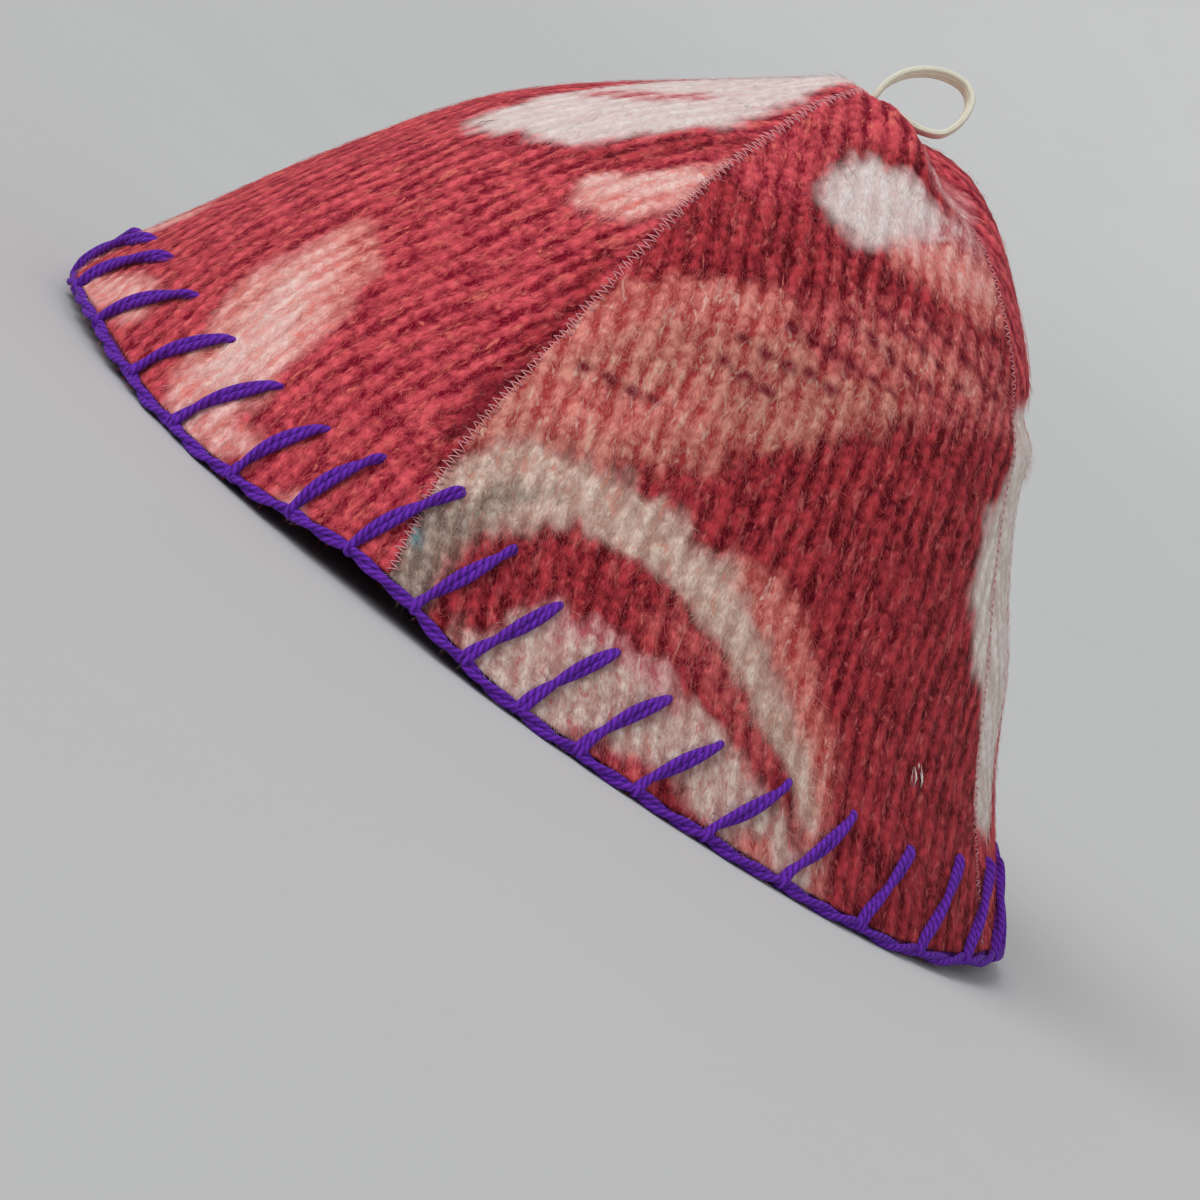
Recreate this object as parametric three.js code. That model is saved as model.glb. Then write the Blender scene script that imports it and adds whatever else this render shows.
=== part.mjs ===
// A sauna hat of fulled wool knit. Four wedge panels are sewn edge to edge into a tall crown that
// flares out to a wide brim. A tape loop comes out of the top, and a yarn runs along the cut edge
// of the brim, on which the hat stands.
// Millimetres, +Z up. The front of the hat faces -X, the wearer's left side faces -Y, and the
// origin is on the floor under the middle of the brim.
import * as THREE from "three";

// ---- Driving dimensions -------------------------------------------------------------------------
const FELT_THICKNESS = 3.2;
const GAP = 0.3; // left between pieces that touch on the real hat
const RIM_GAP = 0.45; // between the cut edge and the yarn under it, whose steps are shorter
const SEAM_TURN = -17; // azimuth of the left seam, in degrees from -Y towards the back
const PANEL_COUNT = 4;
const TIP_SHIFT = -8.5; // the panels' tips meet a little in front of the widest girth's middle
const BRIM_SHIFT = 1.15; // brings the middle of the whole brim over the origin

const YARN_WIDTH = 3.4; // two strands side by side along the cut edge
const YARN_HEIGHT = 2.6;
const STITCH_COUNT = 45;
const YARN_BOW = 0.9; // how far the yarn bows out between two stitches

const TAPE_WIDTH = 5;
const TAPE_THICKNESS = 1.8;
const APEX_HOLE = 3.9; // radius left open at the panels' tips for the loop's two tails

// Steps of the faceted solids.
const STEPS_ACROSS = 16; // of a panel, from seam to seam
const STEPS_UP = 22; // of a panel, from brim to tip
const STEPS_PER_STITCH = 4;
const YARN_SIDES = 8;
const LOOP_STEPS = 44;

const RIM_HEIGHT = YARN_HEIGHT + RIM_GAP;

// The hat's outline, one row for each girth of the crown.
// along: share of the way from the brim to the top, measured on the cloth
// front, side, back: how far the cloth lies from the middle of that girth
// shift: how far that middle is moved towards the back
// corner: how much further out the seams stand than an oval, as a share
// lean: how far the seams turn from their straight way up, in degrees
const roundHole = { front: APEX_HOLE, side: APEX_HOLE, back: APEX_HOLE };
const GIRTHS = [
  { along: 0.0, height: RIM_HEIGHT, front: 148.4, side: 130, back: 148, shift: 0, corner: 0.008, lean: 3.0 },
  { along: 0.2, height: 37.6, front: 132.0, side: 113.4, back: 123.7, shift: -1.3, corner: 0.015, lean: -0.8 },
  { along: 0.4, height: 78.8, front: 105.8, side: 93.0, back: 98.8, shift: -3.0, corner: 0.02, lean: -1.6 },
  { along: 0.56, height: 107.9, front: 82.6, side: 77.2, back: 83.4, shift: -4.8, corner: 0.028, lean: -2.0 },
  { along: 0.66, height: 125.6, front: 60.8, side: 62.4, back: 76.0, shift: -7.1, corner: 0.03, lean: -2.6 },
  { along: 0.78, height: 143.2, front: 37.0, side: 42.4, back: 60.9, shift: -8.4, corner: 0.03, lean: -3.6 },
  { along: 0.9, height: 157.4, front: 18.5, side: 24.6, back: 40.2, shift: -8.9, corner: 0.03, lean: -4.5 },
  { along: 0.97, height: 163.8, front: 9.2, side: 11.6, back: 19.6, shift: -9.0, corner: 0.0, lean: -2.0 },
  { along: 1.0, height: 164.4, ...roundHole, shift: TIP_SHIFT, corner: 0.0, lean: 0.0 },
];

// Where the brim's edge rises off the floor, and how far round the hat each rise spreads.
const RISES = [
  { name: "left seam", azimuth: -17, lift: 6.6, reach: 14 },
  { name: "front left", azimuth: -70, lift: 3.8, reach: 17 },
  { name: "front seam", azimuth: -107, lift: 4.0, reach: 14 },
  { name: "back seam", azimuth: 80, lift: 4.8, reach: 16 },
  { name: "right seam", azimuth: 163, lift: 4.7, reach: 14 },
];
const FLATTENED = 0.5; // rises lower than this are pressed flat on the floor

// Dents and bulges that the soft cloth has taken. rise is outwards, and the reach columns say how
// far each one spreads, in degrees round the hat and as a share of the way up.
const DENTS = [
  { name: "valley along the back seam", azimuth: 69, along: 0.92, rise: -4.6, reachRound: 13, reachUp: 0.06 },
  { name: "swell behind that valley", azimuth: 112, along: 0.91, rise: 3.6, reachRound: 24, reachUp: 0.06 },
  { name: "swell in front of it", azimuth: 30, along: 0.945, rise: 2.6, reachRound: 24, reachUp: 0.05 },
  { name: "hollow behind the tip", azimuth: 135, along: 0.99, rise: -4.4, reachRound: 62, reachUp: 0.045 },
  { name: "fold under the shoulder", azimuth: 86, along: 0.64, rise: -1.8, reachRound: 16, reachUp: 0.024 },
  { name: "bulge below that fold", azimuth: 86, along: 0.585, rise: 1.9, reachRound: 20, reachUp: 0.035 },
  { name: "back of the side", azimuth: 88, along: 0.33, rise: 1.6, reachRound: 18, reachUp: 0.07 },
  { name: "upturned front of the brim", azimuth: -92, along: 0.05, rise: 2.6, reachRound: 24, reachUp: 0.09 },
  { name: "hollow by the left seam", azimuth: -38, along: 0.46, rise: -1.4, reachRound: 14, reachUp: 0.12 },
  { name: "right front quarter", azimuth: 208, along: 0.5, rise: -1.8, reachRound: 18, reachUp: 0.13 },
  { name: "right back quarter", azimuth: 128, along: 0.4, rise: 1.8, reachRound: 20, reachUp: 0.12 },
];

// The loop's middle line, from one tail's end inside the crown, up, over to the back and down to
// the other tail's end. The tails lie side by side in the hole at the panels' tips.
const TAIL_SPACING = TAPE_THICKNESS + GAP + 0.2;
const FRONT_TAIL = TIP_SHIFT - TAIL_SPACING / 2;
const BACK_TAIL = TIP_SHIFT + TAIL_SPACING / 2;
const LOOP_ROUTE = [
  { x: FRONT_TAIL, y: 0.0, z: 150.0 },
  { x: FRONT_TAIL, y: 0.0, z: 157.0 },
  { x: FRONT_TAIL, y: 0.0, z: 163.5 },
  { x: -9.0, y: 2.6, z: 169.6 },
  { x: -5.6, y: 6.4, z: 175.2 },
  { x: 0.6, y: 9.4, z: 179.4 },
  { x: 7.4, y: 10.4, z: 180.4 },
  { x: 11.2, y: 9.0, z: 178.0 },
  { x: 12.3, y: 6.4, z: 172.6 },
  { x: 10.2, y: 4.4, z: 167.0 },
  { x: 5.2, y: 3.8, z: 164.6 },
  { x: -0.2, y: 3.2, z: 164.0 },
  { x: -4.6, y: 1.6, z: 163.6 },
  { x: BACK_TAIL, y: 0.0, z: 161.0 },
  { x: BACK_TAIL, y: 0.0, z: 157.0 },
  { x: BACK_TAIL, y: 0.0, z: 150.0 },
];

const radians = THREE.MathUtils.degToRad;
const PANEL_ANGLE = 360 / PANEL_COUNT;

// ---- The cloth's surface ------------------------------------------------------------------------
const COLUMNS = ["height", "front", "side", "back", "shift", "corner", "lean"];
const girthCurve = new THREE.CubicInterpolant(
  GIRTHS.map((girth) => girth.along),
  GIRTHS.flatMap((girth) => COLUMNS.map((column) => girth[column])),
  COLUMNS.length,
);

function girthAt(along) {
  const values = girthCurve.evaluate(along);
  return Object.fromEntries(COLUMNS.map((column, index) => [column, values[index]]));
}

function turnBetween(from, to) {
  return THREE.MathUtils.euclideanModulo(to - from + 180, 360) - 180;
}

function rimLift(azimuth) {
  let lift = -FLATTENED;
  for (const rise of RISES) {
    lift += rise.lift * Math.exp(-((turnBetween(rise.azimuth, azimuth) / rise.reach) ** 2));
  }
  return Math.max(0, lift);
}

// A point of the cloth's outer face, before its dents.
function smoothCloth(azimuth, along) {
  const girth = girthAt(along);
  const round = Math.sin(radians(azimuth));
  const out = Math.cos(radians(azimuth));
  const reach = round < 0 ? girth.front : girth.back;
  const oval = 1 / Math.hypot(round / reach, out / girth.side);
  const seamWave = Math.cos(PANEL_COUNT * radians(azimuth - SEAM_TURN - girth.lean));
  const radius = oval * (1 + girth.corner * seamWave);
  const height = girth.height + rimLift(azimuth) * (1 - along) ** 3;
  return new THREE.Vector3(girth.shift + radius * round, -radius * out, height);
}

function outward(azimuth, along) {
  const step = 0.01;
  const low = Math.max(0, along - step);
  const high = Math.min(1, along + step);
  const across = smoothCloth(azimuth + 1, along).sub(smoothCloth(azimuth - 1, along));
  const up = smoothCloth(azimuth, high).sub(smoothCloth(azimuth, low));
  return across.cross(up).normalize();
}

function dentAt(azimuth, along) {
  let rise = 0;
  for (const dent of DENTS) {
    const round = turnBetween(dent.azimuth, azimuth) / dent.reachRound;
    const up = (along - dent.along) / dent.reachUp;
    rise += dent.rise * Math.exp(-(round ** 2) - up ** 2);
  }
  return rise;
}

// A point in the cloth: depth 0 is its inner face and 1 its outer face. Where the cloth stands on
// the edge yarn, the inner face is pressed level with the outer one.
function clothPoint(azimuth, along, depth) {
  const point = smoothCloth(azimuth, along);
  const inset = dentAt(azimuth, along) - FELT_THICKNESS * (1 - depth);
  point.addScaledVector(outward(azimuth, along), inset);
  point.z = Math.max(point.z, RIM_HEIGHT + rimLift(azimuth) * (1 - along) ** 3);
  return point;
}

// ---- Pieces -------------------------------------------------------------------------------------
const felt = () => new THREE.MeshStandardMaterial({ color: 0x9c3240, roughness: 0.95, metalness: 0 });
const yarn = new THREE.MeshStandardMaterial({ color: 0x55209a, roughness: 0.8, metalness: 0 });
const tape = new THREE.MeshStandardMaterial({ color: 0xe2ddca, roughness: 0.75, metalness: 0 });

// A wedge of cloth between two seams: a slab whose width, height and depth are laid round the
// hat, up it and through the cloth. Half a gap is left at each seam.
function panel(name, firstSeam) {
  const slab = new THREE.BoxGeometry(1, 1, 1, STEPS_ACROSS, STEPS_UP, 1);
  const corners = slab.attributes.position;
  for (let index = 0; index < corners.count; index += 1) {
    const across = corners.getX(index) + 0.5;
    const along = corners.getY(index) + 0.5;
    const depth = corners.getZ(index) + 0.5;
    const girth = girthAt(along);
    const middle = firstSeam + PANEL_ANGLE / 2 + girth.lean;
    const towards = (across - 0.5) * 2;
    const halfGap = THREE.MathUtils.radToDeg((0.6 * GAP) / Math.min(girth.front, girth.side));
    const point = clothPoint(middle + towards * (PANEL_ANGLE / 2 - halfGap), along, depth);
    corners.setXYZ(index, point.x, point.y, point.z);
  }
  slab.computeVertexNormals();
  const mesh = new THREE.Mesh(slab, felt());
  mesh.name = name;
  return mesh;
}

// The middle of the yarn under the cut edge. It follows the rim and bows out between stitches.
function yarnMiddle(azimuth) {
  const inwards = 0.32; // of the cut edge's width, from its outer corner
  const middle = clothPoint(azimuth, 0, 1).lerp(clothPoint(azimuth, 0, 0), inwards);
  const away = new THREE.Vector3(middle.x, middle.y, 0).normalize();
  const bow = Math.abs(Math.sin((Math.PI * STITCH_COUNT * azimuth) / 360));
  middle.addScaledVector(away, YARN_BOW * bow);
  middle.z = rimLift(azimuth) + YARN_HEIGHT / 2;
  return middle;
}

// The edge yarn: a ring whose middle line is laid along the rim and whose section is flattened,
// so that it lies flat on the floor where the brim does.
function edgeYarn() {
  const ringRadius = 2;
  const steps = STITCH_COUNT * STEPS_PER_STITCH;
  const ring = new THREE.TorusGeometry(ringRadius, 1, YARN_SIDES, steps);
  const corners = ring.attributes.position;
  const toCorner = 0.5 / Math.cos(Math.PI / YARN_SIDES); // the flats, not the corners, have the size
  for (let index = 0; index < corners.count; index += 1) {
    const fromX = Math.atan2(corners.getY(index), corners.getX(index));
    const azimuth = THREE.MathUtils.radToDeg(fromX) + 90;
    const beyond = Math.hypot(corners.getX(index), corners.getY(index)) - ringRadius;
    const round = Math.atan2(corners.getZ(index), beyond) + Math.PI / YARN_SIDES;
    const travel = yarnMiddle(azimuth + 360 / steps).sub(yarnMiddle(azimuth - 360 / steps));
    const away = new THREE.Vector3(travel.y, -travel.x, 0).normalize();
    const point = yarnMiddle(azimuth).addScaledVector(away, YARN_WIDTH * toCorner * Math.cos(round));
    point.z += YARN_HEIGHT * toCorner * Math.sin(round);
    corners.setXYZ(index, point.x, point.y, point.z);
  }
  ring.computeVertexNormals();
  const mesh = new THREE.Mesh(ring, yarn);
  mesh.name = "edge_yarn";
  return mesh;
}

// The loop: a flat tape with rounded edges, drawn along its route. The route starts straight up,
// which turns the section's x, the tape's width, to the hat's -Y.
function hangingLoop() {
  const route = new THREE.CatmullRomCurve3(
    LOOP_ROUTE.map((stop) => new THREE.Vector3(stop.x, stop.y, stop.z)),
    false,
    "centripetal",
  );
  const edge = TAPE_THICKNESS / 2;
  const flat = TAPE_WIDTH / 2 - edge;
  const section = new THREE.Shape();
  section.absarc(flat, 0, edge, -Math.PI / 2, Math.PI / 2);
  section.absarc(-flat, 0, edge, Math.PI / 2, (3 * Math.PI) / 2);
  const geometry = new THREE.ExtrudeGeometry(section, {
    steps: LOOP_STEPS,
    curveSegments: 3,
    extrudePath: route,
    bevelEnabled: false,
  });
  const mesh = new THREE.Mesh(geometry, tape);
  mesh.name = "hanging_loop";
  return mesh;
}

const hat = new THREE.Group();
hat.position.x = BRIM_SHIFT;
hat.name = "sauna_hat";
const panelNames = ["panel_back_left", "panel_back_right", "panel_front_right", "panel_front_left"];
panelNames.forEach((name, index) => hat.add(panel(name, SEAM_TURN + index * PANEL_ANGLE)));
hat.add(edgeYarn());
hat.add(hangingLoop());

export default hat;
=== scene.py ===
"""A sauna hat of fulled wool knit: four panels, brushed fibres, seam threads, blanket stitch, loop.

It is laid out as an add-on. Each operator makes one group of like pieces around the hat's solids.
The front of the hat faces -X, the wearer's left side faces -Y, and +Z is up. The cloth's surface
is worked out in millimetres, and the meshes are in metres.
"""

import math

import bmesh
import bpy
import numpy as np
from bpy.props import FloatProperty, FloatVectorProperty, IntProperty, PointerProperty
from mathutils import Matrix, Vector


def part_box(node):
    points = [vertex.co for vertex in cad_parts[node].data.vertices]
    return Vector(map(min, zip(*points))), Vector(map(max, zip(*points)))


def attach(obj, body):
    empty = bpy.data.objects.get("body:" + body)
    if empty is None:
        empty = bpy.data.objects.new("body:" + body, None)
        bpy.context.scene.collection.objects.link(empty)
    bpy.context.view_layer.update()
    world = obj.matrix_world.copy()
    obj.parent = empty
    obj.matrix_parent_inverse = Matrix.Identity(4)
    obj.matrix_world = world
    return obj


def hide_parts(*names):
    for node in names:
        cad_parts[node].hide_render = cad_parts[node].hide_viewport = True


bl_info = {
    "name": "Sauna Hat",
    "version": (1, 0, 0),
    "blender": (4, 5, 0),
    "location": "3D View > Sidebar > Sauna Hat",
    "description": "Felted knit panels, blanket stitch, seam threads and tape loop of a sauna hat",
    "category": "Object",
}

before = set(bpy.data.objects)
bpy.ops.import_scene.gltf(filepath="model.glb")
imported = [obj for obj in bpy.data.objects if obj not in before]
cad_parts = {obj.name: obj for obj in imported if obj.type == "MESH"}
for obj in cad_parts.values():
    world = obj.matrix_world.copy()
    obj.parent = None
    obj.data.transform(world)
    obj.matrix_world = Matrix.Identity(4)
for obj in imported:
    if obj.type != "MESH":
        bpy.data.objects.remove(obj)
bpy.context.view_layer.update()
MM = 0.001

# ---- The cloth's surface, in millimetres ----
UPRIGHT, LEVEL = (0, 0, 1), (1, 1, 0)  # the upright direction, and what makes a direction level
FELT_THICKNESS = 3.2
SEAM_TURN = -17  # azimuth of the left seam, in degrees from -Y towards the back
PANEL_ANGLE = 90
BRIM_SHIFT = 1.15  # brings the middle of the whole brim over the origin
RIM_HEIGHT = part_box("panel_back_left")[0].z / MM
PANELS = ("panel_back_left", "panel_back_right", "panel_front_right", "panel_front_left")
SHORT_WAY = 0.01  # a small share of the way up, over which directions are measured

# The outline, one row for each girth. front, side and back say how far the cloth lies from the
# middle of that girth, and shift how far the middle is moved back. corner is the seams' extra
# reach, as a share, and lean is how far the seams turn, in degrees.
GIRTH_COLUMNS = ("along", "height", "front", "side", "back", "shift", "corner", "lean")
GIRTHS = np.array([
    (0.00, RIM_HEIGHT, 148.4, 130.0, 148.0, 0.0, 0.008, 3.0),
    (0.20, 37.6, 132.0, 113.4, 123.7, -1.3, 0.015, -0.8),
    (0.40, 78.8, 105.8, 93.0, 98.8, -3.0, 0.020, -1.6),
    (0.56, 107.9, 82.6, 77.2, 83.4, -4.8, 0.028, -2.0),
    (0.66, 125.6, 60.8, 62.4, 76.0, -7.1, 0.030, -2.6),
    (0.78, 143.2, 37.0, 42.4, 60.9, -8.4, 0.030, -3.6),
    (0.90, 157.4, 18.5, 24.6, 40.2, -8.9, 0.030, -4.5),
    (0.97, 163.8, 9.2, 11.6, 19.6, -9.0, 0.000, -2.0),
    (1.00, 164.4, 3.9, 3.9, 3.9, -8.5, 0.000, 0.0),
])
# Where the brim rises off the floor: azimuth, lift, and reach round the hat.
RISES = ((-17, 6.6, 14), (-70, 3.8, 17), (-107, 4.0, 14), (80, 4.8, 16), (163, 4.7, 14))
FLATTENED = 0.5  # rises lower than this are pressed flat on the floor
RISE_FADING = 3  # how fast the cloth above a rise comes back to its place
# Dents and bulges: azimuth, along, rise, reach round the hat, reach up it.
DENTS = (
    (69, 0.92, -4.6, 13, 0.06),
    (112, 0.91, 3.6, 24, 0.06),
    (30, 0.945, 2.6, 24, 0.05),
    (135, 0.99, -4.4, 62, 0.045),
    (86, 0.64, -1.8, 16, 0.024),
    (86, 0.585, 1.9, 20, 0.035),
    (88, 0.33, 1.6, 18, 0.07),
    (-92, 0.05, 2.6, 24, 0.09),
    (-38, 0.46, -1.4, 14, 0.12),
    (208, 0.50, -1.8, 18, 0.13),
    (128, 0.40, 1.8, 20, 0.12),
)


def girth_at(along):
    """The outline's columns at each share of the way up, on a smooth curve through the rows."""
    rows = GIRTHS[:, 0]
    chords = np.diff(GIRTHS, axis=0) / np.diff(rows)[:, None]
    slopes = np.vstack([chords[:1], (chords[1:] + chords[:-1]) / 2, chords[-1:]])
    low = np.clip(np.searchsorted(rows, along, side="right") - 1, 0, len(rows) - 2)
    span = (rows[low + 1] - rows[low])[..., None]
    t = (along[..., None] - rows[low][..., None]) / span
    values = (
        (2 * t**3 - 3 * t**2 + 1) * GIRTHS[low]
        + (t**3 - 2 * t**2 + t) * span * slopes[low]
        + (3 * t**2 - 2 * t**3) * GIRTHS[low + 1]
        + (t**3 - t**2) * span * slopes[low + 1]
    )
    return dict(zip(GIRTH_COLUMNS, np.moveaxis(values, -1, 0)))


def unit(vectors):
    """The vectors, each brought to a length of 1."""
    return vectors / np.maximum(np.linalg.norm(vectors, axis=-1, keepdims=True), 1e-9)


def run_of(line):
    """The length of a line up to each of its steps."""
    return np.concatenate([[0], np.cumsum(np.linalg.norm(np.diff(line, axis=0), axis=1))])


def turn_between(start, end):
    """The turn from one azimuth to another, from -180 to 180 degrees."""
    return (end - start + 180) % 360 - 180


def rim_lift(azimuth):
    """How far the cut edge rises off the floor."""
    lift = sum(rise * np.exp(-((turn_between(at, azimuth) / reach) ** 2)) for at, rise, reach in RISES)
    return np.maximum(0, lift - FLATTENED)


def cloth_lift(azimuth, along):
    """How far the cloth above the cut edge follows its rise."""
    return rim_lift(azimuth) * (1 - along) ** RISE_FADING


def smooth_cloth(azimuth, along):
    """Points of the cloth's outer face, before its dents."""
    girth = girth_at(along)
    angle = np.radians(azimuth)
    reach = np.where(np.sin(angle) < 0, girth["front"], girth["back"])
    oval = 1 / np.hypot(np.sin(angle) / reach, np.cos(angle) / girth["side"])
    seam_wave = np.cos(len(PANELS) * np.radians(azimuth - SEAM_TURN - girth["lean"]))
    radius = oval * (1 + girth["corner"] * seam_wave)
    height = girth["height"] + cloth_lift(azimuth, along)
    x = BRIM_SHIFT + girth["shift"] + radius * np.sin(angle)
    return np.stack([x, -radius * np.cos(angle), height], axis=-1)


def outward(azimuth, along):
    """The direction straight out of the cloth."""
    across = smooth_cloth(azimuth + 1, along) - smooth_cloth(azimuth - 1, along)
    low, high = np.maximum(0, along - SHORT_WAY), np.minimum(1, along + SHORT_WAY)
    return unit(np.cross(across, smooth_cloth(azimuth, high) - smooth_cloth(azimuth, low)))


def cloth_point(azimuth, along, raised):
    """Points raised above the cloth's outer face, or sunk into the cloth where raised is negative."""
    azimuth, along = np.broadcast_arrays(np.asarray(azimuth, float), np.asarray(along, float))
    dent = np.zeros(azimuth.shape)
    for at, up, rise, reach_round, reach_up in DENTS:
        round_share = turn_between(at, azimuth) / reach_round
        dent += rise * np.exp(-(round_share**2) - ((along - up) / reach_up) ** 2)
    point = smooth_cloth(azimuth, along) + outward(azimuth, along) * (dent + raised)[..., None]
    point[..., 2] = np.maximum(point[..., 2], RIM_HEIGHT + cloth_lift(azimuth, along))
    return point


def seam_azimuth(number, along):
    """The azimuth of a seam. Seam 0 is the left one, and panel 0 lies behind it."""
    return SEAM_TURN + number * PANEL_ANGLE + girth_at(along)["lean"]


def panel_azimuth(number, across, along):
    """The azimuth of a point of a panel; across runs from 0 at its first seam to 1 at its second."""
    return seam_azimuth(number, along) + PANEL_ANGLE * across


# ---- The flat knit chart of a panel ----
# x runs across from the panel's middle rib and y up from its cut edge, in millimetres.
CHART_STEPS, CHART_PLACES = 200, 12  # up the middle rib, and from it to a point


def chart_place(number, across, along):
    """Where points of a panel lie on its flat chart."""
    middle, edge = panel_azimuth(number, 0.5, along), panel_azimuth(number, across, along)
    x, before = np.zeros(along.shape), smooth_cloth(middle, along)
    for step in range(1, CHART_PLACES + 1):
        point = smooth_cloth(middle + (edge - middle) * step / CHART_PLACES, along)
        x += np.linalg.norm(point - before, axis=-1)
        before = point
    ups = np.linspace(0, 1, CHART_STEPS + 1)
    line = smooth_cloth(panel_azimuth(number, 0.5, ups), ups)
    heights = run_of(line)
    girth = girth_at(ups)
    radius = (girth["front"] + 2 * girth["side"] + girth["back"]) / 4
    sag = -np.gradient(radius, heights) / np.maximum(radius, 1) / 2
    x = x * np.sign(across - 0.5)
    return x, np.interp(along, ups, heights) + np.interp(along, ups, sag) * x**2


def eased(share):
    """A share from 0 to 1 that starts and ends gently."""
    return share * share * (3 - 2 * share)


CELLS = 128  # patches until the clouds repeat


def clouds(x, y, size, seed):
    """Smooth random values from -1 to 1, in patches about size wide."""
    lattice = np.random.default_rng(seed).uniform(-1, 1, (CELLS, CELLS))
    column, row = np.floor(x / size).astype(int), np.floor(y / size).astype(int)
    u, v = eased(x / size - column), eased(y / size - row)
    left, right, low, high = column % CELLS, (column + 1) % CELLS, row % CELLS, (row + 1) % CELLS
    below = lattice[low, left] * (1 - u) + lattice[low, right] * u
    above = lattice[high, left] * (1 - u) + lattice[high, right] * u
    return below * (1 - v) + above * v


def layered(x, y, layers):
    """Clouds of several sizes laid over each other."""
    return sum(weight * clouds(x, y, size, seed) for weight, size, seed in layers)


def half_wave(angle):
    """A wave between 0 and 1 that starts at its top."""
    return 0.5 + 0.5 * np.cos(angle)


# What makes the knit uneven: layers of clouds, each (weight, size, seed).
RIB_SWAY = ((1.0, 17, 3), (0.7, 5, 4))
ROW_SWAY = ((0.45, 9, 5),)
RIB_STRENGTH, STRENGTH_CHANGE = 0.78, ((0.22, 11, 6),)
RIB_FUZZ = ((0.2, 2.8, 7),)
LEG_LAG = 0.5  # how many rows a loop's legs lie behind its crown
CROWN_HEIGHT, LOOP_HEIGHT = 0.52, 0.48  # what the ribs and their loops add to the relief
GROOVE_LOOP = 0.4  # what is left of the loops in a groove


def knit_rib(x, y, wale, course):
    """How high the knit's ribs stand at points of the chart, from 0 in a groove to 1 on a loop."""
    column = (x + layered(x, y, RIB_SWAY)) / wale
    from_crown = np.abs(column - np.round(column)) * 2
    crown = half_wave(np.pi * from_crown)
    loop = half_wave(2 * np.pi * (y / course + LEG_LAG * from_crown + layered(x, y, ROW_SWAY)))
    loop_height = LOOP_HEIGHT * loop * (GROOVE_LOOP + (1 - GROOVE_LOOP) * crown)
    height = CROWN_HEIGHT * crown + loop_height + layered(x, y, RIB_FUZZ)
    strength = RIB_STRENGTH + layered(x, y, STRENGTH_CHANGE)
    return np.clip(0.5 + strength * (height - 0.5), 0, 1)


# Each wool has light fibres, dark fibres and a few odd ones, as sRGB from 0 to 255; the dark also paints
# shade into the grooves.
WOOLS = {
    "raspberry": ((236, 94, 104), (128, 8, 38), (238, 122, 110)),
    "burgundy": ((202, 66, 75), (91, 5, 20), (216, 106, 104)),
    "rose": ((230, 110, 110), (130, 20, 38), (232, 154, 140)),
    "coral": ((246, 154, 142), (182, 64, 64), (244, 196, 184)),
    "shell": ((252, 221, 213), (234, 166, 158), (244, 138, 124)),
    "peach": ((252, 201, 193), (226, 131, 125), (244, 116, 102)),
    "cream": ((242, 229, 225), (228, 206, 201), (238, 200, 196)),
    "pink": ((238, 186, 184), (192, 92, 100), (242, 216, 212)),
    "oat": ((243, 219, 203), (192, 150, 136), (220, 142, 124)),
    # A darker copy of oat: painted shade for the far left of the oat arc.
    "shaded_oat": ((200, 180, 166), (126, 102, 92), (180, 124, 108)),
    "linen": ((252, 244, 236), (220, 200, 192), (228, 200, 192)),
    "blush": ((246, 224, 210), (198, 146, 136), (206, 106, 104)),
    "marl": ((230, 155, 138), (170, 56, 60), (230, 190, 168)),
    "plum": ((138, 34, 52), (98, 12, 32), (170, 70, 76)),
    "teal": ((60, 150, 160), (30, 96, 112), (80, 160, 170)),
}
GROUNDS = {
    "panel_front_left": "raspberry",
    "panel_back_left": "burgundy",
    "panel_back_right": "raspberry",
    "panel_front_right": "burgundy",
}
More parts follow.
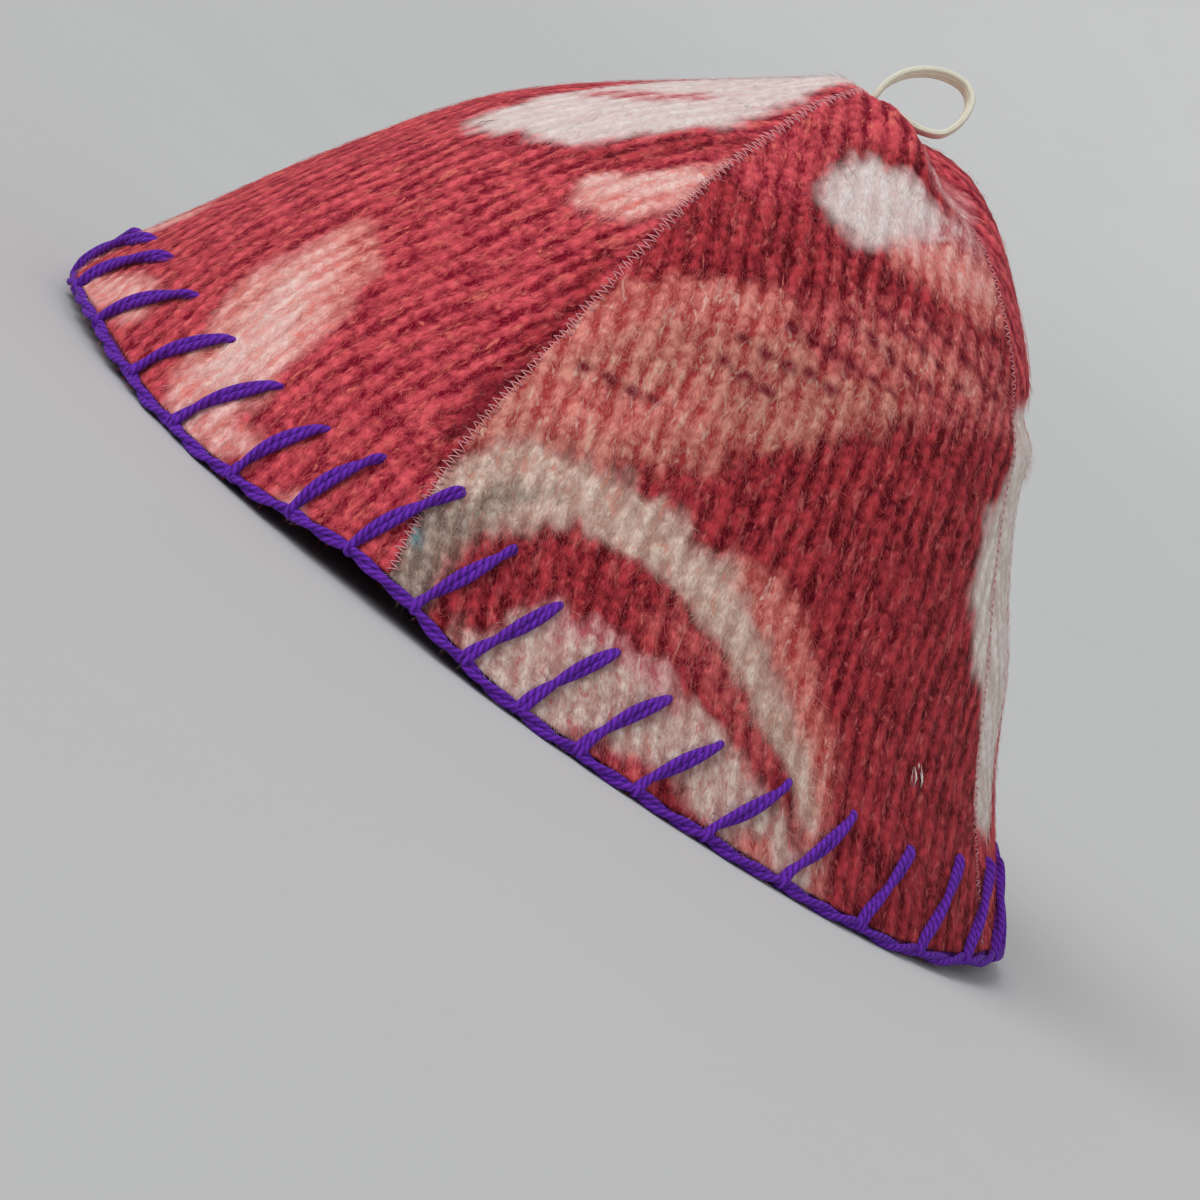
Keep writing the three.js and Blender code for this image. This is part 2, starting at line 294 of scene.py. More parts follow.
# The knitted shapes, in the order in which they lie over each other. A route is a row of round
# spots, each (x, y, radius), that run into one another.
SHAPES = {
    "panel_front_left": (
        # Painted shade: a burgundy band with a plum core along the left seam stands in for the shade in the
        # seam's valley.
        ("burgundy", (96, 50, 3), (93, 60, 5), (86, 76, 5.5), (80, 88, 5), (72, 102, 4), (62, 118, 3)),
        ("plum", (93, 58, 1), (86, 72, 1.5), (82, 84, 0)),
        ("cream", (-6, 118, 10), (4, 136, 20), (4, 160, 25), (2, 184, 19), (0, 202, 9)),
        ("pink", (-9, 140, 3), (-1, 153, 5), (8, 166, 4)),
        ("raspberry", (22, 118, 3), (31, 134, 4), (34, 152, 4), (30, 178, 3), (20, 196, 2)),
        ("burgundy", (23, 122, 2), (32, 136, 3), (35, 154, 3), (33, 170, 2)),
        ("peach", (46, 126, 8), (49, 139, 7), (49, 155, 5), (44, 168, 2)),
        ("shell", (41, 125, 2), (45, 138, 3), (47, 152, 2)),
        ("peach", (18, 64, 5), (24, 56, 12), (28, 42, 17), (32, 28, 16), (36, 10, 12)),
        ("shell", (25, 48, 4), (31, 34, 8), (36, 18, 6)),
        ("coral", (14, 66, 2), (22, 66, 3.5), (32, 60, 3.5), (40, 48, 1)),
        ("coral", (16, 44, 1), (22, 30, 1), (26, 18, 1)),
        ("peach", (-78, 4, 10), (-62, 24, 10), (-50, 40, 5)),
        ("peach", (-40, 3, 7), (-24, 8, 6), (-10, 12, 5)),
        ("peach", (52, 8, 6), (56, 12, 4)),
        ("peach", (77, 8, 5), (80, 12, 3)),
    ),
    "panel_back_left": (
        ("raspberry", (-34, 168, 12), (-22, 190, 10), (0, 208, 12)),
        ("rose", (-32, 136, 0), (-12, 132, 0)),
        ("marl", (-84, 76, 14), (-64, 92, 20), (-44, 104, 18), (-22, 114, 14), (0, 122, 10),
         (10, 126, 6)),
        ("rose", (-10, 128, 8), (6, 133, 11), (24, 140, 14), (44, 152, 12)),
        ("marl", (-60, 76, 8), (-38, 86, 8), (-16, 101, 7), (4, 114, 6), (16, 124, 5)),
        ("coral", (-76, 98, 6), (-62, 112, 6), (-48, 118, 6), (-26, 126, 5)),
        ("coral", (-70, 80, 7), (-54, 84, 5), (-36, 92, 4)),
        ("coral", (2, 130, 3), (18, 137, 4), (34, 146, 4)),
        ("coral", (8, 164, 6), (22, 171, 9), (38, 182, 8)),
        ("peach", (10, 166, 3), (24, 174, 4), (38, 184, 3)),
        ("pink", (10, 178, 6), (22, 186, 5), (31, 191, 3)),
        ("cream", (-13, 163, 6), (-8, 168, 10), (0, 174, 11), (9, 181, 7), (16, 186, 3)),
        ("pink", (18, 203, 5), (28, 199, 5)),
        ("coral", (-14, 62, 3), (2, 57, 6), (12, 50, 5), (20, 42, 5.5), (26, 31, 6.5), (28, 17, 5),
         (28, 2, 4)),
        ("oat", (-94, 12, 10), (-90, 36, 13), (-80, 49, 12), (-68, 56, 11), (-54, 60, 8.5),
         (-40, 59, 8), (-28, 57, 8), (-17, 54, 7.5), (-4, 46, 6.5), (8, 38, 5), (18, 30, 5), (25, 20, 4)),
        # Painted shade: a darker copy of oat over the arc's far left end, near the brim.
        ("shaded_oat", (-99, 4, 10), (-94, 20, 12), (-88, 32, 11), (-78, 44, 5), (-72, 53, 3), (-62, 57, 0)),
        ("blush", (-72, 8, 8), (-56, 15, 12), (-42, 19, 13), (-27, 17, 13), (-10, 14, 10),
         (8, 9, 8), (22, 6, 5)),
        ("pink", (-54, 28, 4), (-42, 31, 4), (-30, 29, 4), (-20, 25, 3)),
        ("burgundy", (-88, 14, 4), (-79, 27, 7.5), (-67, 35, 9), (-54, 41, 9.5), (-42, 43, 9), (-30, 42, 8),
         (-20, 39, 6.5), (-12, 34, 5), (-4, 31, 4), (4, 27, 3), (10, 22, 2.2), (16, 16, 1.5)),
        ("rose", (-27, 41, 3), (-13, 37, 5), (-3, 32, 4), (8, 24, 2.5)),
        ("raspberry", (-34, 4, 5), (-27, 3, 5)),
        ("burgundy", (-18, 2, 5), (-12, 1, 4)),
        ("coral", (6, 1, 5), (14, 3, 3)),
        ("linen", (70, 134, 8), (68, 118, 9), (68, 104, 9), (76, 92, 7), (84, 84, 6)),
        ("teal", (-98, 31, 1.2), (-98, 32, 1.2)),
    ),
    "panel_back_right": (
        ("pink", (-34, 207, 5), (-26, 210, 5)),
        ("linen", (-54, 150, 9), (-62, 118, 16), (-76, 84, 17), (-88, 60, 10), (-94, 50, 4)),
        ("burgundy", (-10, 196, 8), (6, 172, 12), (34, 150, 12)),
        ("marl", (-20, 128, 12), (8, 118, 15), (38, 104, 16), (66, 86, 14)),
        ("peach", (-2, 112, 7), (14, 108, 6)),
        ("blush", (-40, 30, 9), (-16, 44, 11), (12, 48, 11), (40, 38, 10), (60, 18, 9)),
        ("burgundy", (-28, 14, 7), (-6, 26, 8), (16, 28, 8), (36, 18, 7)),
        ("coral", (88, 8, 9), (84, 40, 10), (74, 58, 6)),
    ),
    "panel_front_right": (
        ("raspberry", (-60, 60, 14), (-30, 104, 16), (0, 140, 14), (6, 180, 12)),
        ("cream", (-30, 176, 5), (-14, 166, 11), (6, 160, 12), (22, 150, 7)),
        ("peach", (-72, 90, 9), (-52, 78, 12), (-36, 58, 11), (-30, 36, 8)),
        ("marl", (20, 118, 10), (44, 106, 14), (68, 88, 13)),
        ("oat", (-4, 70, 7), (18, 74, 8), (42, 64, 8), (62, 46, 8), (76, 22, 7)),
        ("pink", (14, 40, 10), (32, 34, 10), (46, 16, 9)),
        ("cream", (-92, 12, 8), (-80, 24, 7)),
        ("coral", (-20, 8, 8), (2, 12, 7)),
    ),
}
# Rows of single dark stitches, one to each rib: y, where the row starts and where it ends.
DARK_ROWS = {
    "panel_back_left": (
        (151, 19, 46), (142, 5, 34), (133, -4, 26), (124, -21, 12), (115, -32, -2),
        (106, -34, -20), (90, -67, -46),
    ),
    "panel_back_right": ((120, 2, 34), (110, 12, 48), (100, 40, 60)),
    "panel_front_right": ((112, 30, 60), (102, 42, 70)),
}
DARK_STITCH = 3.4, 2.3  # half its width and height
DARK_SPACING, DARK_DEPTH = 1.2, 1.15  # ribs from one dark stitch to the next, and how full it is
EDGE_BLUR = 7.0  # the felted knit's colours run into one another over this many millimetres
# How the colours' edges wander: layers of clouds, each (weight, size, seed).
TONGUES, TONGUE_LENGTH = ((1.8, 2.6, 15),), 3.0
WANDER_ACROSS = ((2.2, 8, 11), (1.2, 3.4, 12))
WANDER_ALONG = ((2.4, 8, 13), (1.6, 3.4, 14))
DARK_WANDER = 0.5  # the dark stitches' share in it


def linear(color):
    """A linear colour from sRGB values between 0 and 255."""
    share = np.asarray(color, float) / 255
    return np.where(share <= 0.04045, share / 12.92, ((share + 0.055) / 1.055) ** 2.4)


def inside_route(route, x, y):
    """How far points lie inside a shape, in millimetres. It is negative outside."""
    inside = np.full(x.shape, -1e3)
    for (x0, y0, r0), (x1, y1, r1) in zip(route, route[1:]):
        length = (x1 - x0) ** 2 + (y1 - y0) ** 2
        share = np.clip(((x - x0) * (x1 - x0) + (y - y0) * (y1 - y0)) / length, 0, 1)
        gone = np.hypot(x - x0 - share * (x1 - x0), y - y0 - share * (y1 - y0))
        inside = np.maximum(inside, r0 + (r1 - r0) * share - gone)
    return inside


def wool_colors(panel, x, y, wale):
    """The light, dark and odd fibres' colours at points of a panel's chart."""
    warp_x = layered(x, y, WANDER_ACROSS)
    warp_y = layered(x, y, WANDER_ALONG) + layered(x, y / TONGUE_LENGTH, TONGUES)
    colors = [np.tile(linear(side), x.shape + (1,)) for side in WOOLS[GROUNDS[panel]]]

    def lay(wool, share):
        share = eased(np.clip(share, 0, 1)[..., None])
        for side, color in zip(colors, WOOLS[wool]):
            side += share * (linear(color) - side)

    for wool, *route in SHAPES[panel]:
        lay(wool, inside_route(route, x + warp_x, y + warp_y) / EDGE_BLUR + 0.5)
    half_width, half_height = DARK_STITCH
    for row, start, end in DARK_ROWS.get(panel, ()):
        for middle in np.arange(start, end, wale * DARK_SPACING):
            away_x = (x + DARK_WANDER * warp_x - middle) / half_width
            away_y = (y + DARK_WANDER * warp_y - row) / half_height
            lay("plum", DARK_DEPTH - np.hypot(away_x, away_y))
    return colors


# ---- Settings ----
def length_setting(name, description, millimetres, precision=4):
    """A length that the user may change."""
    return FloatProperty(
        name=name, description=description, default=millimetres * MM, unit="LENGTH", precision=precision,
    )


def color_setting(name, description, color):
    """A colour that the user may change, from sRGB values between 0 and 255."""
    return FloatVectorProperty(
        name=name, description=description, default=tuple(linear(color)), subtype="COLOR", size=3,
        min=0, max=1,
    )


class HatSettings(bpy.types.PropertyGroup):
    """Sizes and colours of the hat's finish."""

    wale: length_setting("Rib Spacing", "Distance between two ribs of the knit", 5.5)
    course: length_setting("Row Spacing", "Distance between two rows of loops", 3.6)
    relief: length_setting("Rib Relief", "Height of the felted ribs above their grooves", 0.55, 5)
    fibre_length: length_setting("Fibre Length", "Length of the longest brushed fibres", 7.5)
    fibre_width: length_setting("Fibre Width", "Thickness of a lock of brushed fibres", 0.1, 5)
    fibres: IntProperty(
        name="Fibres", description="Number of brushed fibres on each panel", default=16500, min=0,
    )
    strand_width: length_setting("Stitch Yarn", "Thickness of one strand of the blanket stitch", 2.1)
    zigzag_width: length_setting("Zigzag Width", "Width of the zigzag over the seams", 3.5)
    zigzag_pitch: length_setting("Zigzag Pitch", "Length of one zig and one zag along the seam", 2.0, 5)
    thread_width: length_setting("Seam Thread", "Thickness of the seam thread", 0.29, 5)
    tape_width: length_setting("Tape Width", "Width of the hanging loop's tape", 5)
    yarn_color: color_setting("Yarn", "Colour of the blanket stitch's yarn", (112, 40, 186))
    thread_color: color_setting("Thread", "Colour of the seam thread", (248, 166, 172))
    tape_color: color_setting("Tape", "Colour of the hanging loop", (240, 234, 212))
    floor_color: color_setting("Floor", "Colour of the floor and backdrop", (209, 209, 209))


def settings():
    """The hat's settings in the open scene."""
    return bpy.context.scene.sauna_hat


# ---- Mesh helpers ----
def mesh_of(name, bm):
    """A mesh from a bmesh, which is used up."""
    mesh = bpy.data.meshes.new(name)
    bm.to_mesh(mesh)
    bm.free()
    return mesh


def new_piece(mesh, material):
    """A smooth mesh's object, at the origin, with one material and the mesh's name."""
    mesh.materials.append(material)
    mesh.polygons.foreach_set("use_smooth", np.full(len(mesh.polygons), True))
    piece = bpy.data.objects.new(mesh.name, mesh)
    bpy.context.scene.collection.objects.link(piece)
    return piece


def corner_places(mesh):
    """The places of a mesh's corners as rows of x, y and z."""
    places = np.zeros(len(mesh.vertices) * 3, np.float32)
    mesh.vertices.foreach_get("co", places)
    return places.reshape(-1, 3).astype(float)


def move_corners(mesh, places):
    """Puts a mesh's corners at new places, given in millimetres."""
    mesh.vertices.foreach_set("co", (places * MM).astype(np.float32).ravel())
    mesh.update()


def add_color(mesh, name, colors):
    """A colour for each corner, kept under a name that the material reads."""
    layer = mesh.attributes.new(name, "FLOAT_COLOR", "POINT")
    rows = np.ones((len(mesh.vertices), 4), np.float32)
    rows[:, :3] = colors
    layer.data.foreach_set("color", rows.ravel())


def add_value(mesh, name, values):
    """A number for each corner, kept under a name that the material reads."""
    layer = mesh.attributes.new(name, "FLOAT", "POINT")
    layer.data.foreach_set("value", values.astype(np.float32))


def add_chart(mesh, x, y):
    """A UV map in metres, from each corner's place on a flat chart in millimetres."""
    layer = mesh.uv_layers.new(name="chart")
    corner = np.zeros(len(mesh.loops), np.int32)
    mesh.loops.foreach_get("vertex_index", corner)
    flat = np.stack([x, y], axis=-1)[corner] * MM
    layer.data.foreach_set("uv", flat.astype(np.float32).ravel())


def square_grid(bm, columns, rows, z=0.0):
    """A flat square of faces in a bmesh, whose x and y run from 0 to 1."""
    made = bmesh.ops.create_grid(bm, x_segments=columns, y_segments=rows, size=0.5)
    bmesh.ops.translate(bm, verts=made["verts"], vec=(0.5, 0.5, z))


def swept_tube(name, line, frames, section, material, around, closed=False):
    """A closed tube along a line. section gives the offset and height of each side's corners at
    each step of the line, frames the two directions they are measured along, and around the
    length once round it on its chart."""
    steps, sides = section.shape[:2]
    rows = steps if closed else steps - 1
    bm = bmesh.new()
    square_grid(bm, sides, rows)
    mesh = mesh_of(name, bm)
    places = corner_places(mesh)
    side = np.round(places[:, 0] * sides).astype(int) % sides
    reached = np.round(places[:, 1] * rows).astype(int)
    step = reached % steps
    offset = section[step, side]
    across, up = frames[0][step], frames[1][step]
    move_corners(mesh, line[step] + across * offset[:, :1] + up * offset[:, 1:])
    run = run_of(line)
    whole = np.append(run, run[-1] + np.linalg.norm(line[0] - line[-1]))
    add_chart(mesh, places[:, 0] * around, whole[reached])
    bm = bmesh.new()
    bm.from_mesh(mesh)
    bmesh.ops.remove_doubles(bm, verts=bm.verts, dist=1e-6)
    if not closed:
        bmesh.ops.holes_fill(bm, edges=[edge for edge in bm.edges if edge.is_boundary])
    bmesh.ops.recalc_face_normals(bm, faces=bm.faces)
    bpy.data.meshes.remove(mesh)
    return new_piece(mesh_of(name, bm), material)


def joined(name, pieces):
    """One object from several."""
    with bpy.context.temp_override(
        active_object=pieces[0], object=pieces[0], selected_objects=pieces,
        selected_editable_objects=pieces,
    ):
        bpy.ops.object.join()
    pieces[0].name = name
    pieces[0].data.name = name
    return pieces[0]


# ---- Material helpers ----
def set_input(tree, socket, value):
    """Sets a node's input to a value or to another node's output."""
    if isinstance(value, bpy.types.NodeSocket):
        tree.links.new(value, socket)
    else:
        socket.default_value = value


def add_node(tree, kind, inputs=(), **options):
    """A shader node with its options and inputs set; an input is a value or another's socket."""
    node = tree.nodes.new("ShaderNode" + kind)
    for option, value in options.items():
        setattr(node, option, value)
    for key, value in dict(inputs).items():
        set_input(tree, node.inputs[key], value)
    return node


def math_node(tree, operation, *values):
    """The result of a Math node."""
    return add_node(tree, "Math", enumerate(values), operation=operation).outputs[0]


def noise(tree, vector, scale, detail, **others):
    """The value of a Noise Texture."""
    inputs = {"Vector": vector, "Scale": scale, "Detail": detail, **others}
    return add_node(tree, "TexNoise", inputs).outputs["Fac"]


def stretched(tree, value, low, high, **options):
    """A value whose range from low to high is stretched to 0 to 1."""
    inputs = {"Value": value, "From Min": low, "From Max": high}
    return add_node(tree, "MapRange", inputs, **options).outputs["Result"]


def weighted(tree, total, *shares):
    """A total with values added to it, each times its weight."""
    for value, weight in shares:
        total = math_node(tree, "MULTIPLY_ADD", value, weight, total)
    return total


def limited(tree, value):
    """A value kept between 0 and 1."""
    return math_node(tree, "MAXIMUM", math_node(tree, "MINIMUM", value, 1.0), 0.0)


def node_group(name, inputs, outputs, fill):
    """A node group, built once. It takes a vector and numbers and puts out numbers, which fill
    makes from its inputs."""
    if name in bpy.data.node_groups:
        return bpy.data.node_groups[name]
    tree = bpy.data.node_groups.new(name, "ShaderNodeTree")
    tree.interface.new_socket("Vector", in_out="INPUT", socket_type="NodeSocketVector")
    for key, value in inputs.items():
        socket = tree.interface.new_socket(key, in_out="INPUT", socket_type="NodeSocketFloat")
        socket.default_value = value
    for key in outputs:
        tree.interface.new_socket(key, in_out="OUTPUT", socket_type="NodeSocketFloat")
    entry = tree.nodes.new("NodeGroupInput")
    leave = tree.nodes.new("NodeGroupOutput")
    for key, result in zip(outputs, fill(tree, entry.outputs)):
        tree.links.new(result, leave.inputs[key])
    return tree


FIBRE_LAYERS = ((0.35, 0.2), (1.45, 0.24), (2.55, 0.22))  # how far each is turned and drawn out


def wool_fibres(tree, entry):
    """Fine wool fibres that lie across each other: how light and how high they are."""
    scaled = add_node(
        tree, "VectorMath", {"Vector": entry["Vector"], "Scale": entry["Scale"]}, operation="SCALE",
    )
    layers = []
    for turn, stretch in FIBRE_LAYERS:
        inputs = {"Vector": scaled.outputs[0], "Rotation": (0, 0, turn), "Scale": (1, stretch, 1)}
        laid = add_node(tree, "Mapping", inputs).outputs[0]
        layers.append(noise(tree, laid, 3200.0, 2.0, Roughness=0.6, Distortion=entry["Curl"]))
    pair = math_node(tree, "MAXIMUM", layers[0], layers[1])
    most = math_node(tree, "MAXIMUM", pair, layers[2])
    return stretched(tree, most, 0.42, 0.78), most


def yarn_plies(tree, entry):
    """The plies of a spun yarn, wound round it: 0 in a groove and 1 on a ply's back."""
    chart = add_node(tree, "SeparateXYZ", {"Vector": entry["Vector"]}).outputs
    uneven = noise(tree, entry["Vector"], 420.0, 1.0)
    turns = math_node(tree, "MULTIPLY", chart["X"], entry["Across"])
    turns = weighted(tree, turns, (chart["Y"], entry["Along"]), (uneven, entry["Uneven"]))
    wave = math_node(tree, "COSINE", math_node(tree, "MULTIPLY", turns, 2 * math.pi))
    return (math_node(tree, "MULTIPLY_ADD", wave, 0.5, 0.5),)


def new_material(name, **shader_values):
    """A material with its principled shader's plain values set. Returns it with tree and shader."""
    material = bpy.data.materials.new(name)
    material.use_nodes = True
    tree = material.node_tree
    shader = tree.nodes["Principled BSDF"]
    for key, value in shader_values.items():
        shader.inputs[key.replace("_", " ")].default_value = value
    return material, tree, shader


def placed_group(tree, group, values):
    """What a node group puts out, laid on the piece's own chart."""
    chart = add_node(tree, "UVMap", uv_map="chart")
    inputs = {"Vector": chart.outputs["UV"], **values}
    return add_node(tree, "Group", inputs, node_tree=group).outputs


def chart_fibres(tree, curl):
    """The fine fibres of a piece."""
    group = node_group("wool fibres", {"Scale": 1.0, "Curl": 1.0}, ("Light", "Height"), wool_fibres)
    return placed_group(tree, group, {"Scale": 1.0, "Curl": curl})


def mix_colors(tree, share, first, second):
    """The colour between two colours, at a share of the way."""
    values = {"Factor_Float": share, "A_Color": first, "B_Color": second}
    node = add_node(tree, "Mix", data_type="RGBA")
    for socket in node.inputs:
        if socket.identifier in values:
            set_input(tree, socket, values[socket.identifier])
    return next(socket for socket in node.outputs if socket.identifier == "Result_Color")


def noise_patch(tree, stretch, scale, low, high, distortion):
    """A share from 0 to 1 that changes in patches, drawn out along the ribs where stretch is low."""
    chart = add_node(tree, "UVMap", uv_map="chart").outputs["UV"]
    laid = add_node(tree, "Mapping", {"Vector": chart, "Scale": (1, stretch, 1)}).outputs[0]
    value = noise(tree, laid, scale, 2.5, Roughness=0.6, Distortion=distortion)
    return stretched(tree, value, low, high, interpolation_type="SMOOTHSTEP")


def wool_attribute(tree, name, output="Color"):
    """A value that the mesh keeps for the wool."""
    return add_node(tree, "Attribute", attribute_name=name).outputs[output]


def finish_shader(tree, shader, color, lumps=None, depth=0.0):
    """Gives a shader its colour, and lumps of a depth in metres."""
    tree.links.new(color, shader.inputs["Base Color"])
    if lumps is not None:
        bump = add_node(tree, "Bump", {"Height": lumps, "Strength": 0.6, "Distance": depth})
        tree.links.new(bump.outputs["Normal"], shader.inputs["Normal"])


# Patches in the felt: how far they are drawn out, their scale, the noise that starts and fills one,
# and how ragged they are.
STITCH_PATCH = 0.55, 210.0, 0.38, 0.62, 0.6
STREAK_PATCH = 0.42, 700.0, 0.38, 0.62, 1.2
ODD_PATCH = 0.38, 410.0, 0.54, 0.68, 1.0
# The ribs' weight paints shade: it mixes the dark colour into the grooves and the light one onto the loops.
TONE_START, TONE_WEIGHTS = -0.61, (1.1, 0.42, 0.36, 0.4)  # of the ribs, stitches, streaks and fibres


def felt_material():
    """Fulled, brushed wool knit: light, dark and odd fibres, mixed stitch by stitch; the ribs mix in
    painted shade, dark in the grooves and light on the loops.
    """
    material, tree, shader = new_material(
        "felted knit", Roughness=0.95, Sheen_Weight=0.06, Sheen_Roughness=0.5,
        Specular_IOR_Level=0.05,
    )
    fibres = chart_fibres(tree, 1.4)
    # Painted shade: the rib's height darkens the knit's grooves.
    rib = wool_attribute(tree, "rib", "Fac")
    stitch, streak = noise_patch(tree, *STITCH_PATCH), noise_patch(tree, *STREAK_PATCH)
    groove_shade_and_tone = weighted(tree, TONE_START, *zip((rib, stitch, streak, fibres["Light"]), TONE_WEIGHTS))
    dark, light = wool_attribute(tree, "wool_dark"), wool_attribute(tree, "wool_light")
    color = mix_colors(tree, limited(tree, groove_shade_and_tone), dark, light)
    odd = noise_patch(tree, *ODD_PATCH)
    odd = math_node(tree, "MULTIPLY", odd, weighted(tree, 0.35, (streak, 0.5)))
    color = mix_colors(tree, odd, color, wool_attribute(tree, "wool_odd"))
    lumps = weighted(tree, fibres["Height"], (streak, 0.8), (stitch, 0.7))
    finish_shader(tree, shader, color, lumps, 0.3 * MM)
    return material


def fibre_material():
    """Single brushed fibres, each in the light colour of the wool that it grows from."""
    material, tree, shader = new_material(
        "brushed fibres", Roughness=0.9, Sheen_Weight=0.06, Sheen_Roughness=0.5, Specular_IOR_Level=0.04,
    )
    place = add_node(tree, "TexCoord").outputs["Object"]
    worn = math_node(tree, "MULTIPLY", noise(tree, place, 900.0, 2.0), 0.35)
    own, dark = wool_attribute(tree, "wool_fibre"), wool_attribute(tree, "wool_dark")
    finish_shader(tree, shader, mix_colors(tree, worn, own, dark))
    return material


def strand_material(name, color, groove_shade_share, across, along, sheen):
    """Spun yarn, thread or woven tape: one colour, with painted shade in its grooves and painted light on
    the plies' backs, with fibres along it.
    across and along say how many plies or ribs a metre crosses, round the strand and along it."""
    material, tree, shader = new_material(
        name, Roughness=0.85, Sheen_Weight=sheen, Sheen_Roughness=0.5, Specular_IOR_Level=0.12,
    )
    fibres = chart_fibres(tree, 0.8)
    group = node_group("yarn plies", {"Across": 1.0, "Along": 1.0, "Uneven": 0.3}, ("Back",), yarn_plies)
    plies = placed_group(tree, group, {"Across": across, "Along": along, "Uneven": 0.5})["Back"]
    # Painted shade in the plies' grooves and painted light on their backs, mixed with the fibres' own tone.
    groove_shade_and_dark_fibres = tuple(channel * groove_shade_share for channel in color) + (1,)
    lit_backs_and_pale_fibres = tuple(min(1, channel * 1.25 + 0.01) for channel in color) + (1,)
    share = limited(tree, weighted(tree, 0.02, (fibres["Light"], 0.62), (plies, 0.52)))
    lumps = weighted(tree, fibres["Height"], (plies, 0.7))
    finish_shader(tree, shader, mix_colors(tree, share, groove_shade_and_dark_fibres, lit_backs_and_pale_fibres), lumps, 0.2 * MM)
    return material


# ---- Panels ----
OUTER_COLUMNS, OUTER_ROWS = 200, 220
INNER_SHARE = 5  # the inner face has one row for so many of the outer one
SEAM_GROOVE, SEAM_REACH = 0.55, 1.3  # the seam's depth and half its width
EDGE_ROUNDING = 0.8  # of the cut edge's outer corner
INNER_RELIEF = 0.4
LEVEL_RIB = 0.6  # the rib height that lies level with the cloth
FELT_WAVES = ((0.25, 11, 21),)  # of the felt between its dents, as (weight, size, seed)


def panel_knit(number, across, along, hat):
    """Where points of a panel lie on its chart, how high the ribs stand and how far they rise."""
    x, y = chart_place(number, across, along)
    rib = knit_rib(x, y, hat.wale / MM, hat.course / MM)
    return x, y, rib, hat.relief / MM * (rib - LEVEL_RIB)


def make_panel(number, material, hat):
    """One wedge of felted knit, with its ribs, its cut edge and its inner face."""
    name = PANELS[number]
    bm = bmesh.new()
    square_grid(bm, OUTER_COLUMNS, OUTER_ROWS, z=1.0)
    square_grid(bm, OUTER_COLUMNS // INNER_SHARE, OUTER_ROWS // INNER_SHARE)
    bmesh.ops.bridge_loops(bm, edges=[edge for edge in bm.edges if edge.is_boundary])
    bmesh.ops.triangulate(bm, faces=[face for face in bm.faces if len(face.verts) > 4])
    bmesh.ops.recalc_face_normals(bm, faces=bm.faces)
    piece = new_piece(mesh_of("knit_" + name, bm), material)
    mesh = piece.data
    across, along, depth = corner_places(mesh).T
    x, y, rib, rise = panel_knit(number, across, along, hat)
    width = chart_place(number, np.ones(along.shape), along)[0]
    from_seam = np.maximum(width - np.abs(x), 0)
    groove = SEAM_GROOVE * np.exp(-((from_seam / SEAM_REACH) ** 2))
    corner = np.maximum(0, 1 - y / EDGE_ROUNDING) ** 2 * EDGE_ROUNDING
    outer = rise - groove - corner + layered(x, y, FELT_WAVES)
    inner = -FELT_THICKNESS + INNER_RELIEF * (0.5 - rib)
    raised = np.where(depth > 0.5, outer, inner)
    move_corners(mesh, cloth_point(panel_azimuth(number, across, along), along, raised))
    colors = wool_colors(name, x, y, hat.wale / MM)
    # wool_dark also carries the painted shade that the ribs mix into the grooves.
    for layer, color in zip(("wool_light", "wool_dark", "wool_odd"), colors):
        add_color(mesh, layer, color)
    # The rib's height also sets the painted shade in the grooves.
    add_value(mesh, "rib", rib)
    add_chart(mesh, x, y)
    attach(piece, "root")
    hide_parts(name)


class KnitPanels(bpy.types.Operator):
    """Make the hat's four panels of felted knit"""

    bl_idname = "sauna_hat.knit_panels"
    bl_label = "Knit Panels"
    bl_options = {"REGISTER", "UNDO"}

    def execute(self, context):
        material = felt_material()
        for number in range(len(PANELS)):
            make_panel(number, material, settings())
        return {"FINISHED"}


# ---- Brushed fibres ----
# A bit of lint caught in a panel's wool: chart x and y, half width, half height and colour.
LINT = {
    "panel_back_left": (60, 50, 1.7, 2.0, (248, 240, 236)),
    "panel_front_left": (-7, 114, 1.0, 1.2, (74, 34, 44)),
}
LINT_SWELL, LINT_TURN = 8, 0.2  # lint's thickness and turn, as shares of a fibre's
ODD_SHARE = 0.15  # of the fibres that have the wool's odd colour
PALE_SHARE, PALE_COLOR = 0.12, (226, 214, 208)  # how far fibres fade at most, and to what
FLATNESS = 0.45  # a lock's height as a share of its width
LOWEST = 0.3  # over the floor
TOP_SPACE, SIDE_SPACE = 0.02, 0.004  # shares of a panel that stay free of roots
ROOT_DEPTH = 0.1
DOWN_FROM, DOWN_DEPTH = 0.02, 0.2  # the way down comes from this far above a root, at this depth
HEADING = 0.3, 0.65  # how far a fibre turns from straight down the hat, in radians: mean and spread
LENGTHS, WIDTHS = (0.35, 1.0), (0.6, 1.3)  # shares of the settings
LIFT_LEAST, LIFT_SHAPE, LIFT_SCALE = 0.05, 1.4, 0.11  # how far a fibre stands off the felt
TIP_LIFTS = 0.2, 1.6  # its tip's share of that
MIDDLE_RISE, TIP_RISE = 0.2, 0.1  # what its middle and its tip always rise
MIDDLE_AT, TIP_AT = 0.5, 0.9  # how far out they lie, as shares of its length
CURL = 0.12  # how far its middle bows aside, as a share of its length
SHADE_SHARE = 0.25  # the dark wool's share in a fibre's worn places


def lint_among(panel, x, y):
    """Which of a panel's fibres are lint, and the lint's colour."""
    if panel not in LINT:
        return np.zeros(x.shape, bool), 0
    middle, height, half_width, half_height, color = LINT[panel]
    return np.hypot((x - middle) / half_width, (y - height) / half_height) < 1, linear(color)


